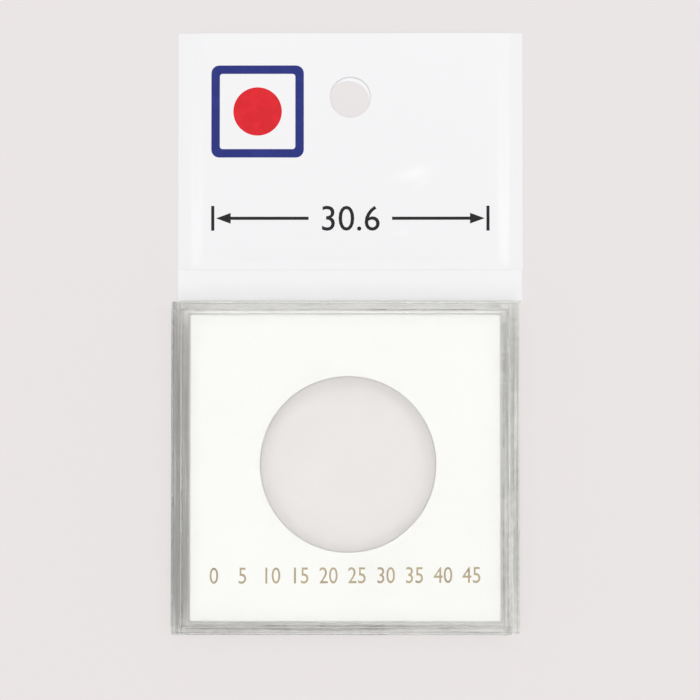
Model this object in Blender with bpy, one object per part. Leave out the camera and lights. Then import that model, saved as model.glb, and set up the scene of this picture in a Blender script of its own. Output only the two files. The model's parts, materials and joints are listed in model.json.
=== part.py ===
"""Acrylic coin holder with a film hang header, lying on its back: front face +Z, header towards +Y.

The case is two clear moulded halves. The front cover's outer walls slide down over the back tray's
inner walls, and a white centre plate with a round hole for the coin lies between them. A strip of film
is bonded to the back of the tray by two adhesive strips, folds at the neck above the case and ends in a
two-ply white header with a round hang hole.

Units are metres. The origin is the middle of the case's footprint, on the surface that it lies on.
"""

import math

import bmesh
import bpy
from mathutils import Vector

# Centre plate
INSERT_WIDTH = 0.0543
INSERT_HEIGHT = 0.0536
INSERT_THICKNESS = 0.0024
INSERT_CORNER = 0.0004
INSERT_CHAMFER = 0.00015
COIN_HOLE_DIAMETER = 0.0307
COIN_HOLE_X = 0.00048
COIN_HOLE_Y = 0.00058
COIN_HOLE_CHAMFER = 0.0003

# Case halves, whose side walls (left and right) are thicker than their end walls (top and bottom)
PLATE_THICKNESS = 0.001665
SIDE_OUTER_WALL = 0.001575
END_OUTER_WALL = 0.0012
SIDE_INNER_WALL = 0.0012
END_INNER_WALL = 0.0006
WALL_GAP = 0.00025
INSERT_SIDE_GAP = 0.0002
INSERT_FLOOR_GAP = 0.0003
INSERT_COVER_GAP = 0.00032
CASE_CORNER = 0.0009
CASE_CHAMFER = 0.00025
RIM_CHAMFER = 0.00015

# Snap beads on the tray's walls, and pry notches in the cover's side walls
BEAD_LENGTH = 0.0050
BEAD_HEIGHT = 0.0007
BEAD_RISE = 0.00015
BEAD_ROOT = 0.0004
BEAD_SPACING = 0.0324
NOTCH_LENGTH = 0.0070
NOTCH_HEIGHT = 0.0007
NOTCH_DEPTH = 0.0009

# Film header, its fold and the bond to the case
FILM_THICKNESS = 0.0002
PLY_GAP = 0.0002
HEADER_LEFT = -0.0297
HEADER_RIGHT = 0.0314
BACK_FILM_RIGHT = 0.03085
BACKING_RIGHT = 0.0302
HEADER_ABOVE_CASE = 0.0480
FRONT_PLY_HEIGHT = 0.0421
FOLD_ABOVE_CASE = 0.0022
FOLD_GAP = 0.0003
FILM_CORNER = 0.0005
HANG_HOLE_DIAMETER = 0.0073
HANG_HOLE_BELOW_TOP = 0.0114
BACK_HOLE_SHIFT_X = -0.00035
BACK_HOLE_SHIFT_Y = -0.00075
ADHESIVE_THICKNESS = 0.00015
ADHESIVE_LENGTH = 0.0480
ADHESIVE_WIDTH = 0.0060
ADHESIVE_FROM_EDGE = 0.0085
BOND_GAP = 0.0001

# Facets of round shapes
CORNER_STEPS = 5
COIN_HOLE_SIDES = 96
HANG_HOLE_SIDES = 48

# Worked-out sizes: (x, y) halves from the middle outwards, then heights from the back upwards
INSERT_HALF = (INSERT_WIDTH / 2, INSERT_HEIGHT / 2)
TRAY_WALL_INSIDE = (INSERT_HALF[0] + INSERT_SIDE_GAP, INSERT_HALF[1] + INSERT_SIDE_GAP)
TRAY_WALL_OUTSIDE = (TRAY_WALL_INSIDE[0] + SIDE_INNER_WALL, TRAY_WALL_INSIDE[1] + END_INNER_WALL)
COVER_WALL_INSIDE = (TRAY_WALL_OUTSIDE[0] + WALL_GAP, TRAY_WALL_OUTSIDE[1] + WALL_GAP)
CASE_HALF = (COVER_WALL_INSIDE[0] + SIDE_OUTER_WALL, COVER_WALL_INSIDE[1] + END_OUTER_WALL)

ADHESIVE_BOTTOM = FILM_THICKNESS + BOND_GAP
CASE_BOTTOM = ADHESIVE_BOTTOM + ADHESIVE_THICKNESS + BOND_GAP
TRAY_FLOOR = CASE_BOTTOM + PLATE_THICKNESS
INSERT_BOTTOM = TRAY_FLOOR + INSERT_FLOOR_GAP
INSERT_TOP = INSERT_BOTTOM + INSERT_THICKNESS
COVER_CEILING = INSERT_TOP + INSERT_COVER_GAP
CASE_TOP = COVER_CEILING + PLATE_THICKNESS
TRAY_WALL_TOP = COVER_CEILING - WALL_GAP
COVER_WALL_BOTTOM = TRAY_FLOOR + WALL_GAP
BEAD_MIDDLE = (TRAY_FLOOR + TRAY_WALL_TOP) / 2

HEADER_TOP = CASE_HALF[1] + HEADER_ABOVE_CASE
HEADER_MIDDLE = (HEADER_LEFT + HEADER_RIGHT) / 2
FRONT_PLY_FOOT = HEADER_TOP - FRONT_PLY_HEIGHT
FRONT_PLY_BOTTOM = FILM_THICKNESS + PLY_GAP
FOLD_Y = CASE_HALF[1] + FOLD_ABOVE_CASE
FOLD_Z = FILM_THICKNESS / 2
HANG_HOLE_Y = HEADER_TOP - HANG_HOLE_BELOW_TOP

CUT_MARGIN = 0.001


def clear_scene():
    """Removes whatever the file opened with."""
    for old in list(bpy.data.objects):
        bpy.data.objects.remove(old, do_unlink=True)


def material(name, colour, roughness, metallic=0.0, transmission=0.0, ior=1.45):
    """A Principled material of one colour."""
    made = bpy.data.materials.new(name)
    made.use_nodes = True
    shader = made.node_tree.nodes["Principled BSDF"]
    shader.inputs["Base Color"].default_value = (*colour, 1.0)
    shader.inputs["Roughness"].default_value = roughness
    shader.inputs["Metallic"].default_value = metallic
    shader.inputs["Transmission Weight"].default_value = transmission
    shader.inputs["IOR"].default_value = ior
    return made


def outline(low, high, corner):
    """Points round a rectangle with rounded corners, anticlockwise, in the XY plane."""
    middles = (
        (high[0] - corner, high[1] - corner),
        (low[0] + corner, high[1] - corner),
        (low[0] + corner, low[1] + corner),
        (high[0] - corner, low[1] + corner),
    )
    points = []
    for quarter, (x, y) in enumerate(middles):
        for step in range(CORNER_STEPS + 1):
            angle = math.pi / 2 * (quarter + step / CORNER_STEPS)
            points.append((x + corner * math.cos(angle), y + corner * math.sin(angle)))
    return points


def centred(half, corner, inset=0.0):
    """A rounded rectangle about the origin, with its sides and corners moved in by inset."""
    x, y = half[0] - inset, half[1] - inset
    return outline((-x, -y), (x, y), corner - inset)


def loft(name, sections, finish, origin=(0.0, 0.0, 0.0)):
    """One closed body through (outline, height) sections, capped at the first and the last."""
    body = bmesh.new()
    rings = [
        [body.verts.new(Vector((x, y, height)) - Vector(origin)) for x, y in points]
        for points, height in sections
    ]
    count = len(rings[0])
    for lower, upper in zip(rings, rings[1:]):
        for i in range(count):
            j = (i + 1) % count
            body.faces.new((lower[i], lower[j], upper[j], upper[i]))
    body.faces.new(rings[0])
    body.faces.new(rings[-1])
    bmesh.ops.recalc_face_normals(body, faces=body.faces)
    return new_object(name, body, finish, origin)


def new_object(name, body, finish=None, origin=(0.0, 0.0, 0.0)):
    """Turns a bmesh into a named object in the scene, smooth except at real edges."""
    mesh = bpy.data.meshes.new(name)
    body.to_mesh(mesh)
    body.free()
    mesh.shade_smooth()
    mesh.set_sharp_from_angle(angle=math.radians(30))
    if finish is not None:
        mesh.materials.append(finish)
    made = bpy.data.objects.new(name, mesh)
    made.location = origin
    bpy.context.scene.collection.objects.link(made)
    return made


def slab(name, low, high, corner, chamfer, finish, origin=(0.0, 0.0, 0.0)):
    """A flat plate between two corners, with rounded upright edges and chamfered faces."""
    full = outline(low, high, corner)
    inner = outline(
        (low[0] + chamfer, low[1] + chamfer),
        (high[0] - chamfer, high[1] - chamfer),
        corner - chamfer,
    )
    sections = [
        (inner, low[2]),
        (full, low[2] + chamfer),
        (full, high[2] - chamfer),
        (inner, high[2]),
    ]
    return loft(name, sections, finish, origin)


def film(name, low, high, finish, origin):
    """A sheet of film: a thin plate with square edges."""
    points = outline(low, high, FILM_CORNER)
    return loft(name, [(points, low[2]), (points, high[2])], finish, origin)


def turned(name, profile, sides, centre):
    """A body turned about an upright axis from (radius, height) points, first and last capped."""
    sections = []
    for radius, height in profile:
        angles = [2 * math.pi * i / sides for i in range(sides)]
        ring = [
            (centre[0] + radius * math.cos(a), centre[1] + radius * math.sin(a))
            for a in angles
        ]
        sections.append((ring, height))
    return loft(name, sections, None)


def block(name, low, high):
    """A plain box between two corners."""
    body = bmesh.new()
    bmesh.ops.create_cube(body, size=1.0)
    span = Vector(high) - Vector(low)
    bmesh.ops.scale(body, vec=span, verts=body.verts)
    bmesh.ops.translate(body, vec=(Vector(low) + Vector(high)) / 2, verts=body.verts)
    return new_object(name, body)


def combine(target, tool, operation):
    """Cuts a helper from an object, or joins it on, and hides the helper."""
    change = target.modifiers.new(tool.name, "BOOLEAN")
    change.operation = operation
    change.solver = "EXACT"
    change.object = tool
    tool.hide_render = True
    tool.display_type = "WIRE"


def joint_axis(name, place, *pieces):
    """An empty on a joint's axis, which carries the pieces that move about it."""
    empty = bpy.data.objects.new(name, None)
    empty.location = place
    bpy.context.scene.collection.objects.link(empty)
    for piece in pieces:
        piece.parent = empty
        piece.location = Vector(piece.location) - Vector(place)
    return empty


def front_cover(finish):
    """The clear front: a plate with four outer walls, and a pry notch under each side wall."""
    outer_corner = CASE_CORNER
    inner_corner = CASE_CORNER / 2
    sections = [
        (centred(CASE_HALF, outer_corner, CASE_CHAMFER), CASE_TOP),
        (centred(CASE_HALF, outer_corner), CASE_TOP - CASE_CHAMFER),
        (centred(CASE_HALF, outer_corner), COVER_WALL_BOTTOM + RIM_CHAMFER),
        (centred(CASE_HALF, outer_corner, RIM_CHAMFER), COVER_WALL_BOTTOM),
        (centred(COVER_WALL_INSIDE, inner_corner, -RIM_CHAMFER), COVER_WALL_BOTTOM),
        (centred(COVER_WALL_INSIDE, inner_corner), COVER_WALL_BOTTOM + RIM_CHAMFER),
        (centred(COVER_WALL_INSIDE, inner_corner), COVER_CEILING),
    ]
    cover = loft("front_cover", sections, finish)
    for side in (-1, 1):
        edges = sorted(
            (side * (CASE_HALF[0] - NOTCH_DEPTH), side * (CASE_HALF[0] + CUT_MARGIN))
        )
        cutter = block(
            f"pry_notch_{'left' if side < 0 else 'right'}",
            (edges[0], -NOTCH_LENGTH / 2, COVER_WALL_BOTTOM - CUT_MARGIN),
            (edges[1], NOTCH_LENGTH / 2, COVER_WALL_BOTTOM + NOTCH_HEIGHT),
        )
        combine(cover, cutter, "DIFFERENCE")
    return cover


def snap_bead(name, middle, outward):
    """A wedge-shaped bead on a tray wall: middle is on the wall's outer face, outward points from it."""
    along = Vector((-outward[1], outward[0], 0.0))
    out = Vector(outward)
    up = Vector((0.0, 0.0, 1.0))
    profile = (
        (-BEAD_ROOT, -BEAD_HEIGHT / 2),
        (0.0, -BEAD_HEIGHT / 2),
        (BEAD_RISE, -BEAD_HEIGHT / 6),
        (BEAD_RISE, BEAD_HEIGHT / 6),
        (0.0, BEAD_HEIGHT / 2),
        (-BEAD_ROOT, BEAD_HEIGHT / 2),
    )
    body = bmesh.new()
    ends = []
    for end in (-BEAD_LENGTH / 2, BEAD_LENGTH / 2):
        base = Vector(middle) + along * end
        ends.append([body.verts.new(base + out * d + up * h) for d, h in profile])
    count = len(profile)
    for i in range(count):
        j = (i + 1) % count
        body.faces.new((ends[0][i], ends[0][j], ends[1][j], ends[1][i]))
    body.faces.new(ends[0])
    body.faces.new(ends[1])
    bmesh.ops.recalc_face_normals(body, faces=body.faces)
    return new_object(name, body)


def bead_places():
    """(name, middle, outward) of each bead: two on the upper and lower walls, one on each side wall."""
    for side, word in ((1, "upper"), (-1, "lower")):
        for half, hand in ((-1, "left"), (1, "right")):
            middle = (half * BEAD_SPACING / 2, side * TRAY_WALL_OUTSIDE[1], BEAD_MIDDLE)
            yield f"bead_{word}_{hand}", middle, (0.0, side, 0.0)
    for side, word in ((-1, "left"), (1, "right")):
        yield f"bead_{word}", (side * TRAY_WALL_OUTSIDE[0], 0.0, BEAD_MIDDLE), (side, 0.0, 0.0)


def back_tray(finish):
    """The clear back: a plate as wide as the cover, inner walls round the insert, and snap beads."""
    wall_corner = CASE_CORNER / 2
    sections = [
        (centred(CASE_HALF, CASE_CORNER, CASE_CHAMFER), CASE_BOTTOM),
        (centred(CASE_HALF, CASE_CORNER), CASE_BOTTOM + CASE_CHAMFER),
        (centred(CASE_HALF, CASE_CORNER), TRAY_FLOOR - RIM_CHAMFER),
        (centred(CASE_HALF, CASE_CORNER, RIM_CHAMFER), TRAY_FLOOR),
        (centred(TRAY_WALL_OUTSIDE, wall_corner), TRAY_FLOOR),
        (centred(TRAY_WALL_OUTSIDE, wall_corner), TRAY_WALL_TOP - RIM_CHAMFER),
        (centred(TRAY_WALL_OUTSIDE, wall_corner, RIM_CHAMFER), TRAY_WALL_TOP),
        (centred(TRAY_WALL_INSIDE, wall_corner, -RIM_CHAMFER), TRAY_WALL_TOP),
        (centred(TRAY_WALL_INSIDE, wall_corner), TRAY_WALL_TOP - RIM_CHAMFER),
        (centred(TRAY_WALL_INSIDE, wall_corner), TRAY_FLOOR),
    ]
    tray = loft("back_tray", sections, finish)
    for name, middle, outward in bead_places():
        combine(tray, snap_bead(name, middle, outward), "UNION")
    return tray


def coin_insert(finish):
    """The white centre plate with the coin's hole, chamfered at both faces."""
    x, y = INSERT_HALF
    plate = slab(
        "coin_insert",
        (-x, -y, INSERT_BOTTOM),
        (x, y, INSERT_TOP),
        INSERT_CORNER,
        INSERT_CHAMFER,
        finish,
    )
    radius = COIN_HOLE_DIAMETER / 2
    flare = radius + COIN_HOLE_CHAMFER
    profile = (
        (flare + CUT_MARGIN, INSERT_BOTTOM - CUT_MARGIN),
        (flare, INSERT_BOTTOM),
        (radius, INSERT_BOTTOM + COIN_HOLE_CHAMFER),
        (radius, INSERT_TOP - COIN_HOLE_CHAMFER),
        (flare, INSERT_TOP),
        (flare + CUT_MARGIN, INSERT_TOP + CUT_MARGIN),
    )
    hole = turned("coin_hole", profile, COIN_HOLE_SIDES, (COIN_HOLE_X, COIN_HOLE_Y))
    combine(plate, hole, "DIFFERENCE")
    return plate


def hang_hole(name, ply, centre, bottom):
    """Punches a round hole through a ply of the header."""
    radius = HANG_HOLE_DIAMETER / 2
    profile = (
        (radius, bottom - CUT_MARGIN),
        (radius, bottom + FILM_THICKNESS + CUT_MARGIN),
    )
    combine(ply, turned(name, profile, HANG_HOLE_SIDES, centre), "DIFFERENCE")


def header_plies(finish):
    """The front and back films of the header, with hang holes that don't quite line up."""
    fold = (0.0, FOLD_Y, FOLD_Z)
    front = film(
        "header_front_film",
        (HEADER_LEFT, FRONT_PLY_FOOT, FRONT_PLY_BOTTOM),
        (HEADER_RIGHT, HEADER_TOP, FRONT_PLY_BOTTOM + FILM_THICKNESS),
        finish,
        fold,
    )
    hang_hole("front_hang_hole", front, (HEADER_MIDDLE, HANG_HOLE_Y), FRONT_PLY_BOTTOM)
    back = film(
        "header_back_film",
        (HEADER_LEFT, FOLD_Y + FOLD_GAP / 2, 0.0),
        (BACK_FILM_RIGHT, HEADER_TOP, FILM_THICKNESS),
        finish,
        fold,
    )
    shifted = (HEADER_MIDDLE + BACK_HOLE_SHIFT_X, HANG_HOLE_Y + BACK_HOLE_SHIFT_Y)
    hang_hole("back_hang_hole", back, shifted, 0.0)
    return front, back


def backing_film(finish):
    """The clear end of the film, from the fold down behind the case."""
    return film(
        "backing_film",
        (HEADER_LEFT, -CASE_HALF[1], 0.0),
        (BACKING_RIGHT, FOLD_Y - FOLD_GAP / 2, FILM_THICKNESS),
        finish,
        (0.0, 0.0, 0.0),
    )


def adhesive_strip(name, side, finish):
    """A strip of clear adhesive between the film and the tray, above or below the coin's hole."""
    far = side * (CASE_HALF[1] - ADHESIVE_FROM_EDGE)
    near = far + side * ADHESIVE_WIDTH
    low, high = sorted((near, far))
    half = ADHESIVE_LENGTH / 2
    return film(
        name,
        (-half, low, ADHESIVE_BOTTOM),
        (half, high, ADHESIVE_BOTTOM + ADHESIVE_THICKNESS),
        finish,
        (0.0, 0.0, 0.0),
    )


def main():
    """Builds the holder at rest."""
    clear_scene()
    cover_acrylic = material("cover_acrylic", (0.95, 0.96, 0.95), 0.05, 0.0, 1.0, 1.49)
    tray_acrylic = material("tray_acrylic", (0.93, 0.94, 0.92), 0.06, 0.0, 1.0, 1.49)
    white_styrene = material("white_styrene", (0.93, 0.93, 0.92), 0.45)
    white_film = material("white_film", (0.90, 0.90, 0.92), 0.30)
    clear_film = material("clear_film", (0.94, 0.95, 0.95), 0.15, 0.0, 0.9, 1.50)
    adhesive = material("adhesive", (0.90, 0.90, 0.86), 0.35, 0.0, 0.7, 1.47)

    back_tray(tray_acrylic)
    backing_film(clear_film)
    for name, side in (("upper_adhesive_strip", 1), ("lower_adhesive_strip", -1)):
        adhesive_strip(name, side, adhesive)
    joint_axis("insert_lift_axis", (0.0, 0.0, INSERT_BOTTOM), coin_insert(white_styrene))
    joint_axis("cover_lift_axis", (0.0, 0.0, CASE_TOP), front_cover(cover_acrylic))
    joint_axis("header_fold_axis", (0.0, FOLD_Y, FOLD_Z), *header_plies(white_film))


main()
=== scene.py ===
"""Looks of a snap-together coin holder: clear acrylic case, white centre plate and white film header.

Everything is in metres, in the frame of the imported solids. The case lies on its back with its clear front
towards +Z, and the header runs from its upper edge towards +Y. Finishes measure in millimetres.
"""

from __future__ import annotations

import functools
import json
import logging
import math
from collections.abc import Callable, Mapping, Sequence
from dataclasses import dataclass, field
from enum import Enum
from typing import Any

import bpy
import numpy as np
from mathutils import Matrix, Vector


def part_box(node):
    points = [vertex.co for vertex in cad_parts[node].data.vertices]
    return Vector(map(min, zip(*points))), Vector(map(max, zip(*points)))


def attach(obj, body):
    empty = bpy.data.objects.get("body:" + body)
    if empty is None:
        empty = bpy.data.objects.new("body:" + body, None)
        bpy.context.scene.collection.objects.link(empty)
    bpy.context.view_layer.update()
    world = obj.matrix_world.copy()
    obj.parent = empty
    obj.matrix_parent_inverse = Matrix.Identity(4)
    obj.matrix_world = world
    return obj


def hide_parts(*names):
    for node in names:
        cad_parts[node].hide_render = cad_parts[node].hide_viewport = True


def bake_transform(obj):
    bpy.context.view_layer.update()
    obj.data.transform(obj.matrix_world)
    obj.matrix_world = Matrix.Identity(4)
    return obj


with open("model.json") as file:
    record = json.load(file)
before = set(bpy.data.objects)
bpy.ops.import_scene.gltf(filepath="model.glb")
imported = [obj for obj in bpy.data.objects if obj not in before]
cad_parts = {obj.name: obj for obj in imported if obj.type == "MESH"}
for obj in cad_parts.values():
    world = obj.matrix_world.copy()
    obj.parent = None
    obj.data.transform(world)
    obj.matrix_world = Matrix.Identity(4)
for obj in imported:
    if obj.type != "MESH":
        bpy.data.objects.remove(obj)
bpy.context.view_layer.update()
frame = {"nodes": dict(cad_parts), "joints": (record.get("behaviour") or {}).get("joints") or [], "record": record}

MM = 0.001
CUT_MAP = "cut"
BLACK = (0.0, 0.0, 0.0)

Colour = tuple[float, float, float]
Flat = tuple[float, float]
Spot = tuple[float, float, float]
Face = tuple[int, ...]
Lift = Callable[[float, float], float]

log = logging.getLogger("coin_holder")


class Body(Enum):
    """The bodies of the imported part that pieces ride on."""

    TRAY = "tray"
    COVER = "cover"
    INSERT = "insert"
    HEADER = "header"


class Slot(Enum):
    """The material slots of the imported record."""

    COVER = "cover_acrylic"
    TRAY = "tray_acrylic"
    INSERT = "insert_white"
    HEADER = "header_film"
    BACKING = "clear_film"
    ADHESIVE = "adhesive"


class Wall(Enum):
    """The four walls of the case, seen from the front."""

    UPPER = "upper"
    LOWER = "lower"
    LEFT = "left"
    RIGHT = "right"


class Cut(Enum):
    """How a tool body changes a piece."""

    JOIN = "UNION"
    REMOVE = "DIFFERENCE"


@functools.cache
def packed_box(node: str) -> tuple[Spot, Spot]:
    """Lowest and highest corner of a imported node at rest, read once."""
    low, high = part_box(node)
    return tuple(low), tuple(high)


def packed_place(rows: Sequence[Mapping[str, Any]], name: str) -> Spot:
    """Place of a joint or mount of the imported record."""
    return next(row["pos_m"] for row in rows if row["name"] == name)


def smooth(share: float) -> float:
    """Smooth step over the shares from zero to one."""
    share = min(1.0, max(0.0, share))
    return share * share * (3 - 2 * share)


def spread(start: float, end: float, step: float) -> list[float]:
    """Evenly spaced stops from start to end, about a step apart."""
    return list(np.linspace(start, end, max(1, round((end - start) / step)) + 1))


class Value:
    """One output socket of a shader graph, with arithmetic that adds Math nodes."""

    def __init__(self, graph: Graph, socket: bpy.types.NodeSocket) -> None:
        """Wrap an output socket of a graph."""
        self.graph = graph
        self.socket = socket

    def __add__(self, other: Value | float) -> Value:
        """Sum of both."""
        return self.graph.math("ADD", self, other)

    __radd__ = __add__

    def __sub__(self, other: Value | float) -> Value:
        """This less the other."""
        return self.graph.math("SUBTRACT", self, other)

    def __rsub__(self, other: Value | float) -> Value:
        """The other less this."""
        return self.graph.math("SUBTRACT", other, self)

    def __mul__(self, other: Value | float) -> Value:
        """Product of both."""
        return self.graph.math("MULTIPLY", self, other)

    __rmul__ = __mul__

    def __truediv__(self, other: Value | float) -> Value:
        """This over the other."""
        return self.graph.math("DIVIDE", self, other)

    def __rtruediv__(self, other: Value | float) -> Value:
        """The other over this."""
        return self.graph.math("DIVIDE", other, self)

    def __pow__(self, power: float) -> Value:
        """This to a power."""
        return self.graph.math("POWER", self, power)

    def __abs__(self) -> Value:
        """Size without sign."""
        return self.graph.math("ABSOLUTE", self)

    def above(self, edge: Value | float) -> Value:
        """One where this is greater than the edge, otherwise zero."""
        return self.graph.math("GREATER_THAN", self, edge)

    def most(self, other: Value | float) -> Value:
        """The greater of both."""
        return self.graph.math("MAXIMUM", self, other)

    def least(self, other: Value | float) -> Value:
        """The smaller of both."""
        return self.graph.math("MINIMUM", self, other)

    def span(self, low: float, high: float) -> Value:
        """From the first number to the second as this goes from zero to one."""
        return self * (high - low) + low

    def rise(self, start: float, end: float) -> Value:
        """Smooth step from zero to one.

        Args:
            start: Where the step leaves zero.
            end: Where it reaches one.

        Returns:
            The share of the step.
        """
        made = self.graph.node(
            "ShaderNodeMapRange",
            {"interpolation_type": "SMOOTHSTEP"},
            {"Value": self, "From Min": start, "From Max": end},
        )
        return self.graph.out(made)

    def step(self, edge: float, soft: float) -> Value:
        """Smooth step from zero to one across an edge, with a soft stretch on both sides."""
        return self.rise(edge - soft, edge + soft)

    def between(self, start: float, end: float, soft: float = 0.06) -> Value:
        """Mask that is one in a band and zero away from it, with soft edges outside the band."""
        return self.rise(start - soft, start) * (1 - self.rise(end, end + soft))


class Graph:
    """The node tree of one material or world."""

    def __init__(self, owner: bpy.types.Material | bpy.types.World) -> None:
        """Start an empty tree.

        Args:
            owner: What the tree belongs to.
        """
        owner.use_nodes = True
        self.owner = owner
        self.tree = owner.node_tree
        self.tree.nodes.clear()

    def node(
        self,
        kind: str,
        settings: Mapping[str, Any] | None = None,
        sockets: Mapping[str | int, Any] | None = None,
    ) -> bpy.types.Node:
        """Add a node.

        Args:
            kind: Blender's type name of the node.
            settings: Properties of the node, set first.
            sockets: Numbers, colours or values for its inputs, by name or place.

        Returns:
            The node.
        """
        made = self.tree.nodes.new(kind)
        for name, setting in (settings or {}).items():
            setattr(made, name, setting)
        for name, content in (sockets or {}).items():
            socket = made.inputs[name]
            if isinstance(content, Value):
                self.tree.links.new(content.socket, socket)
            elif isinstance(content, tuple) and len(content) < len(socket.default_value):
                socket.default_value = (*content, 1.0)
            else:
                socket.default_value = content
        return made

    def out(self, made: bpy.types.Node, name: str | int = 0) -> Value:
        """An output of a node, by name or place."""
        return Value(self, made.outputs[name])

    def math(self, operation: str, *terms: Value | float) -> Value:
        """Result of a Math node, by Blender's name of the operation."""
        return self.out(self.node("ShaderNodeMath", {"operation": operation}, dict(enumerate(terms))))

    def where(self) -> Value:
        """Place on the piece at rest, in millimetres.

        Returns:
            The place as a vector.
        """
        scaled = self.node(
            "ShaderNodeVectorMath",
            {"operation": "SCALE"},
            {0: self.out(self.node("ShaderNodeTexCoord"), "Object"), "Scale": 1 / MM},
        )
        return self.out(scaled)

    def cut_place(self) -> tuple[Value, Value]:
        """The x and y of a place on a film as it was cut, in millimetres."""
        cut = self.node("ShaderNodeUVMap", {"uv_map": CUT_MAP})
        return self.parts(self.out(cut))[:2]

    def parts(self, vector: Value) -> tuple[Value, Value, Value]:
        """Split a vector into its three numbers."""
        made = self.node("ShaderNodeSeparateXYZ", sockets={0: vector})
        return self.out(made, 0), self.out(made, 1), self.out(made, 2)

    def vector(self, x: Value | float, y: Value | float, z: Value | float) -> Value:
        """Join three numbers into a vector."""
        return self.out(self.node("ShaderNodeCombineXYZ", sockets={0: x, 1: y, 2: z}))

    def noise(self, where: Value, scale: float, detail: float = 2.0, rough: float = 0.5) -> Value:
        """Smooth noise.

        Args:
            where: The place it is read at.
            scale: Waves per unit of the place.
            detail: Octaves.
            rough: Share of each finer octave.

        Returns:
            The noise, from zero to one and mostly near a half.
        """
        made = self.node(
            "ShaderNodeTexNoise",
            {"noise_dimensions": "3D"},
            {"Vector": where, "Scale": scale, "Detail": detail, "Roughness": rough},
        )
        return self.out(made)

    def blend(self, share: Value, first: Value | Colour, second: Value | Colour) -> Value:
        """Mix two colours, with this share of the second."""
        made = self.node("ShaderNodeMix", {"data_type": "RGBA"}, {0: share, 6: first, 7: second})
        return self.out(made, 2)

    def bump(self, height: Value, distance: float, strength: float) -> Value:
        """Surface normal bent by a height, whose one stands for this distance in metres."""
        sockets = {"Strength": strength, "Distance": distance, "Height": height}
        return self.out(self.node("ShaderNodeBump", sockets=sockets))

    def shader(self, sockets: Mapping[str, Any]) -> Value:
        """A Principled shader with these sockets."""
        return self.out(self.node("ShaderNodeBsdfPrincipled", sockets=sockets))

    def mixed(self, share: Value, first: Value, second: Value) -> Value:
        """Mix two shaders, with this share of the second."""
        return self.out(self.node("ShaderNodeMixShader", sockets={0: share, 1: first, 2: second}))

    def lamplit(self, glass: Value, passed: Colour) -> Value:
        """Let lamps shine through glass.

        Args:
            glass: The glass shader.
            passed: Share of the light that goes through.

        Returns:
            The mixed shader.
        """
        path = self.node("ShaderNodeLightPath")
        clear = self.node("ShaderNodeBsdfTransparent", sockets={"Color": passed})
        return self.mixed(self.out(path, "Is Shadow Ray"), glass, self.out(clear))

    def seen_straight(self) -> Value:
        """Mask of what the camera sees, also in gloss or through glass.

        Returns:
            One for such rays, and zero for scattered light.
        """
        path = self.node("ShaderNodeLightPath")
        seen = self.out(path, "Is Camera Ray")
        seen = seen.most(self.out(path, "Is Glossy Ray")).most(self.out(path, "Is Transmission Ray"))
        return seen * (1 - self.out(path, "Diffuse Depth").above(0.5))

    def surface(self, shader: Value) -> None:
        """Make this shader the material's surface."""
        self.node("ShaderNodeOutputMaterial", sockets={"Surface": shader})


@dataclass(frozen=True)
class Finish:
    """What all finishes share: a name, and a graph that is drawn once."""

    name: str

    def material(self) -> bpy.types.Material:
        """The material, made at its first use.

        Returns:
            The material.
        """
        made = bpy.data.materials.get(self.name)
        if made is None:
            made = bpy.data.materials.new(self.name)
            self.draw(Graph(made))
        return made

    def draw(self, graph: Graph) -> None:
        """Draw the finish's nodes into an empty graph."""
        raise NotImplementedError


@dataclass(frozen=True)
class Band:
    """A band along one wall, between two distances from the middle of the case."""

    wall: Wall
    start: float
    end: float
    strength: float


class RimPlace:
    """Where a point of a case half lies, as shader values.

    Attributes:
        where: Its place as a vector.
        x: Its place across the case.
        y: Its place along the case.
        z: Its height.
        flat: Its place without its height, as a vector.
        reach: Its distance from the middle, with the end walls stretched to the thickness of the side walls.
        level: One on faces that look up or down.
        side: One by the side walls.
        end: One by the end walls.
        upper: One in the upper half of the case.
        walls: One by each wall.
    """

    def __init__(self, graph: Graph, half: Flat, end_stretch: float) -> None:
        """Read the place.

        Args:
            graph: The graph of the finish.
            half: Half the case's width and height.
            end_stretch: Thickness of the side walls over that of the end walls.
        """
        self.where = graph.where()
        self.x, self.y, self.z = graph.parts(self.where)
        self.flat = graph.vector(self.x, self.y, 0.0)
        self.reach = abs(self.x).most((abs(self.y) - half[1]) * end_stretch + half[0])
        _, _, facing = graph.parts(graph.out(graph.node("ShaderNodeNewGeometry"), "Normal"))
        self.level = abs(facing).rise(0.3, 0.7)
        sharpness = 10
        across = (abs(self.x) / half[0]) ** sharpness
        along = (abs(self.y) / half[1]) ** sharpness
        self.side = across / (across + along)
        self.end = 1 - self.side
        right = self.x.step(0.0, 1.0)
        self.upper = self.y.step(0.0, 1.0)
        self.walls = {
            Wall.UPPER: self.end * self.upper,
            Wall.LOWER: self.end * (1 - self.upper),
            Wall.LEFT: self.side * (1 - right),
            Wall.RIGHT: self.side * right,
        }

    def drift(self, side: Flat, end: Flat) -> Value:
        """A number with a middle value and a change per millimetre, for side walls and for end walls."""
        return self.side * (self.x * side[1] + side[0]) + self.end * (self.y * end[1] + end[0])

    def painted(self, bands: Sequence[Band]) -> Value:
        """Sum of bands along the walls, each by its strength."""
        masks = (self.walls[band.wall] * self.reach.between(band.start, band.end) for band in bands)
        return sum(mask * band.strength for mask, band in zip(masks, bands))


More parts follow.
